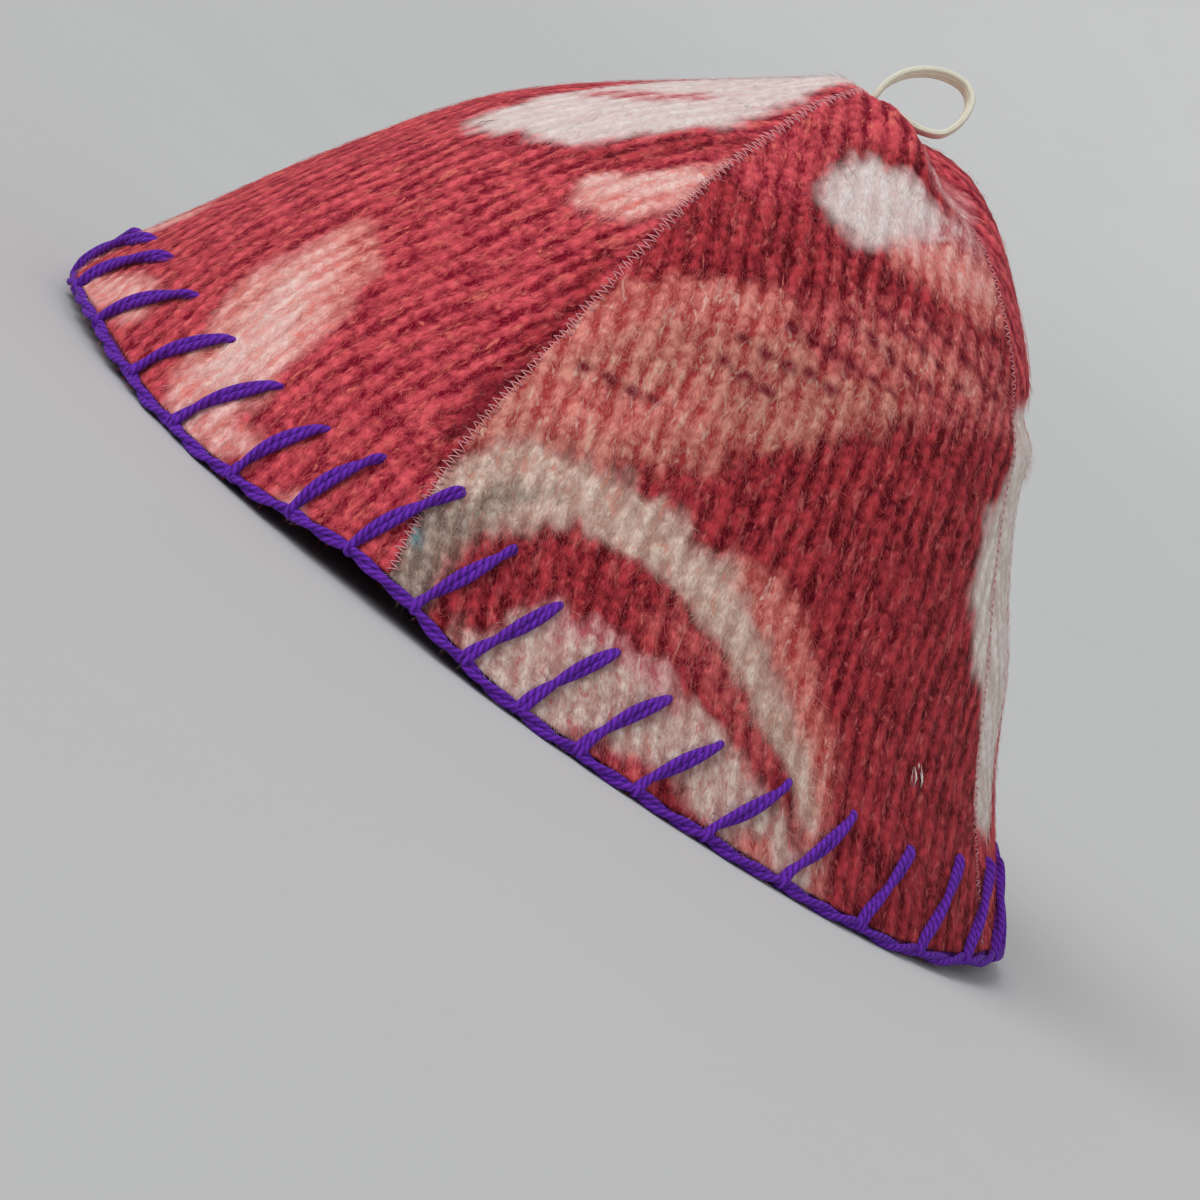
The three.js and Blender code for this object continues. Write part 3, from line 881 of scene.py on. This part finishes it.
def fibre_template():
    """A fine lock of wool, pointed at both ends and three-sided, that runs along x from 0 to 1."""
    bm = bmesh.new()
    made = bmesh.ops.create_cone(bm, cap_ends=True, segments=3, radius1=0.5, radius2=0.0, depth=1.0)
    bmesh.ops.translate(bm, verts=made["verts"], vec=(0, 0, 0.5))
    base = [face for face in bm.faces if max(corner.co.z for corner in face.verts) < 0.5]
    root = bmesh.ops.poke(bm, faces=base)["verts"]
    bmesh.ops.translate(bm, verts=root, vec=(0, 0, -1))
    bmesh.ops.scale(bm, verts=bm.verts, vec=(1, 1, 0.5))
    bmesh.ops.translate(bm, verts=bm.verts, vec=(0, 0, 0.5))
    bmesh.ops.rotate(bm, verts=bm.verts, matrix=Matrix.Rotation(math.pi / 2, 3, "Y"))
    bmesh.ops.recalc_face_normals(bm, faces=bm.faces)
    return mesh_of("fibre", bm)


def repeated(name, template, count, material):
    """A piece of many copies of a template mesh. Returns it with the template's corner places."""
    places = corner_places(template)
    faces = np.array([face.vertices for face in template.polygons])
    copies = (faces[None] + np.arange(count)[:, None, None] * len(places)).reshape(-1, 3)
    mesh = bpy.data.meshes.new(name)
    mesh.vertices.add(len(places) * count)
    mesh.loops.add(copies.size)
    mesh.loops.foreach_set("vertex_index", copies.astype(np.int32).ravel())
    mesh.polygons.add(len(copies))
    mesh.polygons.foreach_set("loop_start", np.arange(0, copies.size, 3, dtype=np.int32))
    mesh.update(calc_edges=True)
    return new_piece(mesh, material), places


def make_fibres(number, material, hat):
    """The brushed fibres of one panel: curved locks that lie on the knit, some standing off it."""
    name = PANELS[number]
    rng = np.random.default_rng(100 + number)
    count = hat.fibres
    along = 1 - np.sqrt(rng.uniform(TOP_SPACE**2, 1, count))
    across = rng.uniform(SIDE_SPACE, 1 - SIDE_SPACE, count)
    x, y, _, base = panel_knit(number, across, along, hat)
    azimuth = panel_azimuth(number, across, along)
    root = cloth_point(azimuth, along, base - ROOT_DEPTH)
    out = outward(azimuth, along)
    above = cloth_point(azimuth, np.minimum(along + DOWN_FROM, 1), base - DOWN_DEPTH)
    down = unit(root - above)
    heading = rng.normal(*HEADING, count)[:, None]
    lint, lint_color = lint_among(name, x, y)
    heading[lint] *= LINT_TURN
    lying = down * np.cos(heading) + np.cross(out, down) * np.sin(heading)
    aside = np.cross(out, lying)
    length = hat.fibre_length / MM * rng.uniform(*LENGTHS, count)[:, None]
    lift = LIFT_LEAST + rng.gamma(LIFT_SHAPE, LIFT_SCALE, count)[:, None]
    curl = rng.normal(0, CURL, count)[:, None] * length
    middle = root + lying * length * MIDDLE_AT + out * (lift + MIDDLE_RISE) + aside * curl
    tip_lift = lift * rng.uniform(*TIP_LIFTS, count)[:, None] + TIP_RISE
    tip = root + lying * length * TIP_AT + out * tip_lift
    piece, shape = repeated("fibres_" + name, fibre_template(), count, material)
    mesh = piece.data
    run, side, rise = shape.T[:, None, :, None]
    line = np.where(run < 0.25, root[:, None], np.where(run < 0.75, middle[:, None], tip[:, None]))
    thick = hat.fibre_width / MM * rng.uniform(*WIDTHS, count)[:, None, None]
    thick[lint] *= LINT_SWELL
    flat = aside[:, None] * side + FLATNESS * out[:, None] * rise
    places = (line + thick * flat).reshape(-1, 3)
    places[:, 2] = np.maximum(places[:, 2], LOWEST)
    move_corners(mesh, places)
    light, dark, odd = wool_colors(name, x, y, hat.wale / MM)
    own = np.where(rng.uniform(0, 1, count)[:, None] < ODD_SHARE, odd, light)
    own[lint] = lint_color
    own = own + PALE_SHARE * rng.uniform(0, 1, count)[:, None] ** 2 * (linear(PALE_COLOR) - own)
    add_color(mesh, "wool_fibre", np.repeat(own, len(shape), axis=0))
    shade = SHADE_SHARE * dark + (1 - SHADE_SHARE) * light
    add_color(mesh, "wool_dark", np.repeat(shade, len(shape), axis=0))
    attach(piece, "root")


class BrushedFibres(bpy.types.Operator):
    """Make the fibres that the brushed wool raises over each panel"""

    bl_idname = "sauna_hat.brushed_fibres"
    bl_label = "Brushed Fibres"
    bl_options = {"REGISTER", "UNDO"}

    def execute(self, context):
        material = fibre_material()
        for number in range(len(PANELS)):
            make_fibres(number, material, settings())
        return {"FINISHED"}


# ---- Strands ----
def between_rows(places, rows, values):
    """Rows of x, y and z, read off between the rows of a table."""
    return np.stack([np.interp(places, rows, values[:, axis]) for axis in range(3)], axis=-1)


def travel_of(line, closed=False):
    """The direction of travel at each step of a line."""
    if closed:
        return unit(np.roll(line, -1, axis=0) - np.roll(line, 1, axis=0))
    return unit(np.gradient(line, axis=0))


def round_section(radius, sides):
    """A round section at each step of a strand."""
    angle = np.linspace(0, 2 * math.pi, sides, endpoint=False)[None]
    reach = np.asarray(radius)[:, None]
    return np.stack([reach * np.cos(angle), reach * np.sin(angle)], axis=-1)


def even_line(line, step):
    """A line through the same places with evenly spaced steps."""
    run = run_of(line)
    stops = np.linspace(0, run[-1], max(3, int(round(run[-1] / step)) + 1))
    return between_rows(stops, run, line)


# ---- Seam threads ----
THREAD_SIDES = 5
ZIG_STEPS = 3  # corners of the thread for each zig
SEAM_ENDS, SEAM_STEPS = (0.008, 0.985), 1200  # shares of the way up, and places measured between
TOP_HALF, TOP_GROWTH = 0.5, 27  # half the zigzag's width at the top, and its growth down from it
THREAD_RISE = 0.1, 0.24  # over the felt where the zigzag turns, and how much more halfway across
TURN_SHARE, TURN_DEPTH = 0.9, 0.3  # beyond this share of the swing, the thread goes in this deep
RISE_UNEVEN = -0.04, 0.09  # mean and spread
ZIG_UNEVEN, ZIG_SLIP = 0.13, 0.11  # in width, and in length as a share of the pitch
THREAD_SUNK = (0.0, 0.34, 0.12, 0.12)  # how deep each seam's thread is fulled into the felt


def make_seam_thread(number, material, hat):
    """The zigzag that joins two panels edge to edge, one thread along the whole seam."""
    rng = np.random.default_rng(200 + number)
    ups = np.linspace(*SEAM_ENDS, SEAM_STEPS)
    seam = cloth_point(seam_azimuth(number, ups), ups, 0.0)
    run = run_of(seam)
    zigs = int(run[-1] / (hat.zigzag_pitch / MM)) * 2
    count = zigs * ZIG_STEPS + 1
    phase = np.arange(count) / ZIG_STEPS

    def each_zig(mean, spread):
        return np.interp(phase, np.arange(zigs + 1), rng.normal(mean, spread, zigs + 1))

    slip = each_zig(0, ZIG_SLIP) * hat.zigzag_pitch / MM
    place = np.interp(np.clip(phase / zigs * run[-1] + slip, 0, run[-1]), run, ups)
    swing = 1 - 2 * np.abs((phase % 2) - 1)
    uneven = 1 + ZIG_UNEVEN * each_zig(0, 1)
    half = np.minimum(hat.zigzag_width / MM / 2, TOP_HALF + (1 - place) * TOP_GROWTH)
    sway = half * swing * uneven
    aside = np.abs(swing)
    high = THREAD_RISE[0] + THREAD_RISE[1] * (1 - aside)
    high = high - TURN_DEPTH * (aside > TURN_SHARE) - THREAD_SUNK[number]
    high += each_zig(*RISE_UNEVEN)
    azimuth = seam_azimuth(number, place)
    out = outward(azimuth, place)
    seam_way = between_rows(place, ups, unit(np.gradient(seam, axis=0)))
    line = cloth_point(azimuth, place, high) + unit(np.cross(seam_way, out)) * sway[:, None]
    across = unit(np.cross(out, travel_of(line)))
    radius = hat.thread_width / MM / 2
    piece = swept_tube(
        f"seam_thread_{number + 1}", line, (across, out),
        round_section(np.full(count, radius), THREAD_SIDES), material, 2 * math.pi * radius,
    )
    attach(piece, "root")


class SeamThreads(bpy.types.Operator):
    """Make the zigzag threads that join the panels"""

    bl_idname = "sauna_hat.seam_threads"
    bl_label = "Seam Threads"
    bl_options = {"REGISTER", "UNDO"}

    def execute(self, context):
        hat = settings()
        across = 2 / (math.pi * hat.thread_width)
        material = strand_material("seam thread", tuple(hat.thread_color), 0.85, across, 1600.0, 0.1)
        for number in range(len(PANELS)):
            make_seam_thread(number, material, hat)
        return {"FINISHED"}


# ---- Blanket stitch ----
# The stitches on the wearer's left, sewn by hand: azimuth at the edge, share of the way up at
# their top, and how far they turn and bow towards the back on the way, both in degrees.
LEFT_STITCHES = (
    (-97.5, 0.100, 7, -0.6), (-86, 0.125, 8, -1.2), (-76, 0.130, 6, -1.1), (-65, 0.130, 5.5, -1.2),
    (-54, 0.133, 4.5, -1.1), (-44.5, 0.133, 5, -1.0), (-34.5, 0.125, 3.5, -0.9), (-26.5, 0.133, 3, -0.7),
    (-19, 0.163, 5, -0.6), (-10, 0.154, 4.7, -0.1), (-2.8, 0.138, 5.3, 0.0), (4.8, 0.133, 6.2, -0.5),
    (12.2, 0.121, 6.8, -0.6), (19.5, 0.108, 7.5, -0.2), (28.5, 0.113, 8.5, 0.3), (38.8, 0.121, 8.2, 0.4),
    (50.5, 0.117, 7, 0.1), (60.5, 0.125, 7.5, 0.3), (70, 0.120, 8, 0.2), (79, 0.117, 7.5, 0.2),
)
RIGHT_STITCH_COUNT = 20
# The same for the right stitches, as means and spreads; the first is how far a place is off.
RIGHT_SPREADS = ((0, 0.7), (0.126, 0.007), (6.5, 1.2), (0, 0.6))
YARN_PLIES, YARN_PITCH = 3, 6.4
STRAND_SIDES, BACK_SIDES = 9, 6

# The running strands.
EDGE_STEPS = 1150
EDGE_TWISTS = 38  # turns of the edge's two strands round each other, all round the hat
EDGE_OUT = 0.8  # how far out from the felt's corner they lie
EDGE_BOW = 0.7  # how far they hang out and down between two stitches
BOW_ROUNDING = 0.8  # the lower, the fuller the bows
EDGE_SLIMNESS = 0.9  # their thickness as a share of the legs' strands
APART, DRAWN_TIGHT = 0.8, 0.25  # how far they lie apart, and how much less at a stitch
INNER_STRAND = -1.0, 1.85  # how far out and how high the strand under the felt's corner lies
FLOOR_GAP, LEG_FLOOR_GAP = 0.02, 0.05  # kept between the yarn and the floor

# The legs and their backs inside the hat.
LEG_STEP, LEG_STEPS = 0.6, 60
LEG_TWIST = 40  # length in which a leg's two strands turn once round each other
FIRST_TWIST, TWIST_CHANGE, TWIST_RATE = 0.02, 0.11, 7.3  # where these turns start on each leg
LEG_RISE, LEG_BULGE, BULGE_ROUNDING = 0.95, 0.45, 0.8  # of a leg over the felt
BACK_GAP = 0.9  # from the felt to the middle of a back
HOLE_DEPTH, HOLE_REACH = 2.6, 0.1  # how deep a leg's end goes in, over which share of the leg
LEG_WRAP = ((-1.2, 1.5), (0.5, 1.4), (1.9, 2.0))  # how far out and how high it rounds the edge
BACK_WRAP = ((-2.4, 1.2),)
LEG_FULLNESS, FULLNESS_CHANGE = 0.92, 0.12  # its thickness at its ends, and how much more halfway
LEG_APART = 0.84  # how far its strands lie apart, as a share of their thickness
CLOSED_UP, CLOSING = 0.5, 0.22  # how much less that is at the top, and over which share of the leg
LEG_FLATNESS = 0.55  # how far the strands rise over each other, as a share of how far they lie apart


def stitches():
    """Every stitch's row: the left ones, then even ones round the right side."""
    rng = np.random.default_rng(31)
    first, last = LEFT_STITCHES[-1][0], LEFT_STITCHES[0][0] + 360
    rows = list(LEFT_STITCHES)
    for index in range(1, RIGHT_STITCH_COUNT + 1):
        at = first + (last - first) * index / (RIGHT_STITCH_COUNT + 1)
        aside, *others = (rng.normal(*spread) for spread in RIGHT_SPREADS)
        rows.append((at + aside, *others))
    return rows


def edge_line(azimuth, outer):
    """The line on the floor under the cut edge, outer millimetres out from the cloth's corner."""
    corner = smooth_cloth(azimuth, np.zeros(azimuth.shape))
    middle = corner + unit(corner * LEVEL) * np.reshape(outer, (-1, 1))
    middle[:, 2] = rim_lift(azimuth)
    return middle


def bow_between(azimuth):
    """0 at each stitch and 1 halfway between two."""
    bases = np.sort([row[0] % 360 for row in stitches()])
    bases = np.concatenate([bases[-1:] - 360, bases, bases[:1] + 360])
    return np.interp(azimuth % 360, bases, np.arange(len(bases))) % 1


def make_edge_yarn(material, hat):
    """The yarn along the cut edge. Its two running strands are drawn up tight at every stitch and
    hang in a bow between them; a third lies in the corner under the felt."""
    azimuth = np.linspace(0, 360, EDGE_STEPS, endpoint=False)
    around = math.pi * hat.strand_width / MM
    bow = np.sin(np.pi * bow_between(azimuth)) ** BOW_ROUNDING
    radius = hat.strand_width / MM / 2 * EDGE_SLIMNESS
    twist = np.radians(azimuth) * EDGE_TWISTS
    tight = APART - DRAWN_TIGHT * (1 - bow) ** 3
    middle = edge_line(azimuth, EDGE_OUT + EDGE_BOW * bow)
    middle[:, 2] += 2 * radius * 0.9 + EDGE_BOW * (1 - bow)
    side_way = unit(np.cross(travel_of(middle, closed=True), UPRIGHT))
    lines = []
    for half in (0, math.pi):
        aside = radius * tight * np.cos(twist + half)
        line = middle + side_way * aside[:, None]
        line[:, 2] += radius * tight * np.sin(twist + half)
        lines.append(line)
    lines.append(edge_line(azimuth, INNER_STRAND[0]) + INNER_STRAND[1] * np.array(UPRIGHT))
    parts = []
    for order, line in enumerate(lines):
        line[:, 2] = np.maximum(line[:, 2], radius + FLOOR_GAP)
        travel = travel_of(line, closed=True)
        across = unit(np.cross(travel, UPRIGHT))
        section = round_section(np.full(len(line), radius), STRAND_SIDES - order // 2 * 2)
        frames = across, np.cross(across, travel)
        parts.append(swept_tube(f"strand_{order}", line, frames, section, material, around, closed=True))
    piece = joined("edge_yarn_strands", parts)
    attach(piece, "root")
    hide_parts("edge_yarn")


def stitch_line(base, top, turn, bow, inside):
    """A leg of a stitch: from the edge's yarn, up the cloth and down into its hole."""
    share = np.linspace(0, 1, LEG_STEPS)
    azimuth = base + turn * share
    hole = np.clip((share - 1 + HOLE_REACH) / HOLE_REACH, 0, 1) ** 2 * HOLE_DEPTH
    if inside:
        raised = -FELT_THICKNESS - BACK_GAP + hole
    else:
        azimuth = azimuth + bow * np.sin(np.pi * share)
        raised = LEG_RISE + LEG_BULGE * np.sin(np.pi * share**BULGE_ROUNDING) - hole
    body = cloth_point(azimuth, share * top, raised)
    wrap = [
        edge_line(np.array([base]), out)[0] + (0, 0, height)
        for out, height in (BACK_WRAP if inside else LEG_WRAP)
    ]
    return smooth_through(np.vstack([wrap, body[share > 0.1]]))


def smooth_through(points):
    """A line through points with its corners rounded."""
    line = even_line(points, 0.4)
    for _ in range(6):
        line[1:-1] = (line[:-2] + 2 * line[1:-1] + line[2:]) / 4
    return line


def make_stitch(number, row, inside, material, hat):
    """One leg of the blanket stitch: two strands of yarn side by side, turned about each other."""
    line = even_line(stitch_line(*row, inside), LEG_STEP * (2 if inside else 1))
    travel = travel_of(line)
    across = unit(np.cross(travel, unit(line * (1, 1, 0.6))))
    up = np.cross(across, travel)
    run = run_of(line)
    share = run / run[-1]
    fullness = LEG_FULLNESS + FULLNESS_CHANGE * np.sin(np.pi * share)
    radius = hat.strand_width / MM / 2 * fullness
    section = round_section(radius, BACK_SIDES if inside else STRAND_SIDES)
    start = FIRST_TWIST + TWIST_CHANGE * np.sin(TWIST_RATE * number)
    twist = 2 * math.pi * (run / LEG_TWIST + start)
    closing = np.clip((share - 1 + CLOSING) / CLOSING, 0, 1) ** 2
    apart = radius * (LEG_APART - CLOSED_UP * closing)
    parts = []
    for half in (0, math.pi):
        strand = line + across * (apart * np.cos(twist + half))[:, None]
        strand += up * (LEG_FLATNESS * apart * np.sin(twist + half))[:, None]
        strand[:, 2] = np.maximum(strand[:, 2], radius + LEG_FLOOR_GAP)
        name = f"leg_{number}_{int(inside)}_{half:.0f}"
        around = math.pi * hat.strand_width / MM
        parts.append(swept_tube(name, strand, (across, up), section, material, around))
    return parts


class BlanketStitch(bpy.types.Operator):
    """Make the blanket stitch: the yarn along the cut edge and the stitches' legs"""

    bl_idname = "sauna_hat.blanket_stitch"
    bl_label = "Blanket Stitch"
    bl_options = {"REGISTER", "UNDO"}

    def execute(self, context):
        hat = settings()
        material = strand_material(
            "yarn", tuple(hat.yarn_color), 0.12, YARN_PLIES / (math.pi * hat.strand_width),
            -YARN_PLIES / (YARN_PITCH * MM), 0.05,
        )
        make_edge_yarn(material, hat)
        for inside, name in ((False, "stitch_legs"), (True, "stitch_backs")):
            legs = []
            for number, row in enumerate(stitches()):
                legs += make_stitch(number, row, inside, material, hat)
            piece = joined(name, legs)
            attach(piece, "root")
        return {"FINISHED"}


# ---- Hanging loop ----
TIP = -8.5 + BRIM_SHIFT
FRONT_TAIL, BACK_TAIL = TIP - 1.15, TIP + 1.15
LOOP_ROUTE = np.array([
    (FRONT_TAIL, 0.0, 150.0), (FRONT_TAIL, 0.0, 157.0), (FRONT_TAIL, 0.0, 163.5),
    (-7.85, 2.6, 169.6), (-4.45, 6.4, 175.2), (1.75, 9.4, 179.4), (8.55, 10.4, 180.4),
    (12.35, 9.0, 178.0), (13.45, 6.4, 172.6), (11.35, 4.4, 167.0), (6.35, 3.8, 164.6),
    (0.95, 3.2, 164.0), (-3.45, 1.6, 163.6),
    (BACK_TAIL, 0.0, 161.0), (BACK_TAIL, 0.0, 157.0), (BACK_TAIL, 0.0, 150.0),
])
TAPE_THICKNESS, TAPE_STEP, TAPE_SIDES = 1.8, 0.45, 32
SQUARENESS, EDGE_ROUNDNESS = 1.6, 0.8  # the higher and the lower, the squarer the tape's edges
WARP_HEIGHT, WARP_PITCH, WARP_EDGE = 0.06, 0.9, 0.6  # of the fine ribs on its two flat faces
WEFT_SHARE, WEFT_PITCH = 0.012, 1.35  # of the rows across it


def curve_through(points, per_span=24):
    """A centripetal curve through points."""
    points = np.vstack([2 * points[0] - points[1], points, 2 * points[-1] - points[-2]])
    line = []
    for span in zip(points, points[1:], points[2:], points[3:]):
        knots = np.cumsum([0] + [np.linalg.norm(b - a) ** 0.5 for a, b in zip(span, span[1:])])
        t = np.linspace(knots[1], knots[2], per_span, endpoint=False)[:, None]

        def mixed(a, b, low, high):
            return ((high - t) * a + (t - low) * b) / (high - low)

        once = [mixed(span[i], span[i + 1], knots[i], knots[i + 1]) for i in range(3)]
        twice = [mixed(once[i], once[i + 1], knots[i], knots[i + 2]) for i in range(2)]
        line.append(mixed(*twice, knots[1], knots[2]))
    return np.vstack(line + [points[-2:-1]])


def carried_frame(line, start):
    """A direction across a line, carried along it without twist."""
    travel = travel_of(line)
    across = [unit(start - travel[0] * np.dot(start, travel[0]))]
    for way in travel[1:]:
        across.append(unit(across[-1] - way * np.dot(across[-1], way)))
    return np.array(across), travel


class HangingLoop(bpy.types.Operator):
    """Make the loop of woven tape at the top of the crown"""

    bl_idname = "sauna_hat.hanging_loop"
    bl_label = "Hanging Loop"
    bl_options = {"REGISTER", "UNDO"}

    def execute(self, context):
        hat = settings()
        line = even_line(curve_through(LOOP_ROUTE), TAPE_STEP)
        across, travel = carried_frame(line, np.array([0.0, -1.0, 0.0]))
        through = np.cross(travel, across)
        angle = np.linspace(0, 2 * math.pi, TAPE_SIDES, endpoint=False)
        edge = TAPE_THICKNESS / 2
        flat = hat.tape_width / MM / 2 - edge
        wide = flat * np.clip(SQUARENESS * np.cos(angle), -1, 1) + edge * np.cos(angle)
        steep = np.abs(np.sin(angle))
        thick = edge * np.sign(np.sin(angle)) * steep**EDGE_ROUNDNESS
        ribs = WARP_HEIGHT * np.cos(2 * math.pi * wide / WARP_PITCH) * (steep > WARP_EDGE)
        section = np.tile(np.stack([wide, thick + ribs * np.sign(thick)], axis=-1), (len(line), 1, 1))
        rows = np.cos(2 * math.pi * np.arange(len(line)) * TAPE_STEP / WEFT_PITCH)
        section[..., 1] *= 1 + WEFT_SHARE * rows[:, None]
        material = strand_material("tape", tuple(hat.tape_color), 0.78, 1100.0, 0.0, 0.1)
        around = 2 * (2 * flat + math.pi * edge)
        piece = swept_tube("tape_loop", line, (across, through), section, material, around)
        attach(piece, "root")
        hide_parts("hanging_loop")
        return {"FINISHED"}


# ---- Stage ----
class Stage(bpy.types.Operator):
    """Make the floor, the lights and the camera"""

    bl_idname = "sauna_hat.stage"
    bl_label = "Stage"
    bl_options = {"REGISTER", "UNDO"}

    def execute(self, context):
        make_floor()
        make_lights()
        make_camera()
        return {"FINISHED"}


FLOOR_RADIUS, FLOOR_SIDES, FLOOR_SHADE = 5.0, 96, 0.96
SWEEP_RADIUS, SWEEP_TURN, SWEEP_RINGS = 4.0, math.radians(80), 14


def make_floor():
    """A round pale floor that curves up into a backdrop on every side."""
    material, tree, shader = new_material("paper floor", Roughness=0.9, Specular_IOR_Level=0.1)
    place = add_node(tree, "TexCoord").outputs["Object"]
    grain = noise(tree, place, 6.0, 3.0)
    color = tuple(settings().floor_color)
    low = tuple(channel * FLOOR_SHADE for channel in color) + (1,)
    finish_shader(tree, shader, mix_colors(tree, grain, low, color + (1,)))
    bm = bmesh.new()
    bmesh.ops.create_circle(bm, cap_ends=True, segments=FLOOR_SIDES, radius=FLOOR_RADIUS)
    rim = [edge for edge in bm.edges if edge.is_boundary]
    for ring in range(1, SWEEP_RINGS + 1):
        raised = bmesh.ops.extrude_edge_only(bm, edges=rim)["geom"]
        angle = SWEEP_TURN * ring / SWEEP_RINGS
        radius = FLOOR_RADIUS + SWEEP_RADIUS * math.sin(angle)
        for corner in (item for item in raised if isinstance(item, bmesh.types.BMVert)):
            flat = corner.co.xy.normalized() * radius
            corner.co = (*flat, SWEEP_RADIUS * (1 - math.cos(angle)))
        rim = [item for item in raised if isinstance(item, bmesh.types.BMEdge)]
    bmesh.ops.recalc_face_normals(bm, faces=bm.faces)
    bmesh.ops.reverse_faces(bm, faces=bm.faces)
    floor = new_piece(mesh_of("floor", bm), material)


# Wide soft lights, as from large windows: where each shines from, how wide it looks from the hat
# in degrees, and its strength.
LIGHTS = (
    ("key light", (-0.95, -0.6, 1.0), 46, 1.75),
    ("fill light", (0.4, -1.0, 0.5), 60, 0.3),
)


def make_lights():
    """Wide soft lights, mostly from above the front of the hat, and a pale sky."""
    for name, place, width, strength in LIGHTS:
        light = bpy.data.lights.new(name, "SUN")
        light.angle = math.radians(width)
        light.energy = strength
        lamp = bpy.data.objects.new(name, light)
        lamp.location = place
        lamp.rotation_euler = (-Vector(place)).to_track_quat("-Z", "Y").to_euler()
        bpy.context.scene.collection.objects.link(lamp)
    world = bpy.data.worlds.new("soft sky")
    world.use_nodes = True
    sky = world.node_tree.nodes["Background"]
    sky.inputs["Color"].default_value = (0.96, 0.98, 1.0, 1)
    sky.inputs["Strength"].default_value = 0.4
    bpy.context.scene.world = world
    bpy.context.scene.view_settings.view_transform = "Standard"


CAMERA_HEIGHT_ANGLE, CAMERA_ROLL = math.radians(8.0), math.radians(36.6)
CAMERA_DISTANCE, CAMERA_LENS = 1.1, 125.0
CAMERA_TARGET = Vector((0.01225, 0.0, 0.016))


def make_camera():
    """A long lens on the wearer's left side, turned so that the brim slopes down to the back."""
    forward = Vector((0, math.cos(CAMERA_HEIGHT_ANGLE), -math.sin(CAMERA_HEIGHT_ANGLE)))
    level = Vector((1, 0, 0))
    upright = level.cross(forward)
    right = level * math.cos(CAMERA_ROLL) + upright * math.sin(CAMERA_ROLL)
    up = upright * math.cos(CAMERA_ROLL) - level * math.sin(CAMERA_ROLL)
    camera = bpy.data.objects.new("camera", bpy.data.cameras.new("camera"))
    turned = Matrix((right, up, -forward)).transposed().to_4x4()
    camera.matrix_world = Matrix.Translation(CAMERA_TARGET - forward * CAMERA_DISTANCE) @ turned
    camera.data.lens = CAMERA_LENS
    camera.data.sensor_width = 36
    camera.data.clip_start = 0.05
    bpy.context.scene.collection.objects.link(camera)
    bpy.context.scene.camera = camera


# ---- Add-on ----
OPERATORS = (KnitPanels, BrushedFibres, SeamThreads, BlanketStitch, HangingLoop, Stage)


class HatPanel(bpy.types.Panel):
    """Sizes, colours and makers of the sauna hat"""

    bl_idname = "VIEW3D_PT_sauna_hat"
    bl_label = "Sauna Hat"
    bl_space_type = "VIEW_3D"
    bl_region_type = "UI"
    bl_category = "Sauna Hat"

    def draw(self, context):
        for name in HatSettings.__annotations__:
            self.layout.prop(context.scene.sauna_hat, name)
        for operator in OPERATORS:
            self.layout.operator(operator.bl_idname)


def register():
    """Adds the settings, the operators and the panel."""
    for kind in (HatSettings, *OPERATORS, HatPanel):
        bpy.utils.register_class(kind)
    bpy.types.Scene.sauna_hat = PointerProperty(type=HatSettings)


def unregister():
    """Takes them away again."""
    del bpy.types.Scene.sauna_hat
    for kind in reversed((HatSettings, *OPERATORS, HatPanel)):
        bpy.utils.unregister_class(kind)


def main():
    """Makes the whole hat on its stage."""
    register()
    bpy.ops.sauna_hat.knit_panels()
    bpy.ops.sauna_hat.brushed_fibres()
    bpy.ops.sauna_hat.seam_threads()
    bpy.ops.sauna_hat.blanket_stitch()
    bpy.ops.sauna_hat.hanging_loop()
    bpy.ops.sauna_hat.stage()
    bpy.context.view_layer.update()


if __name__ == "__main__":
    main()
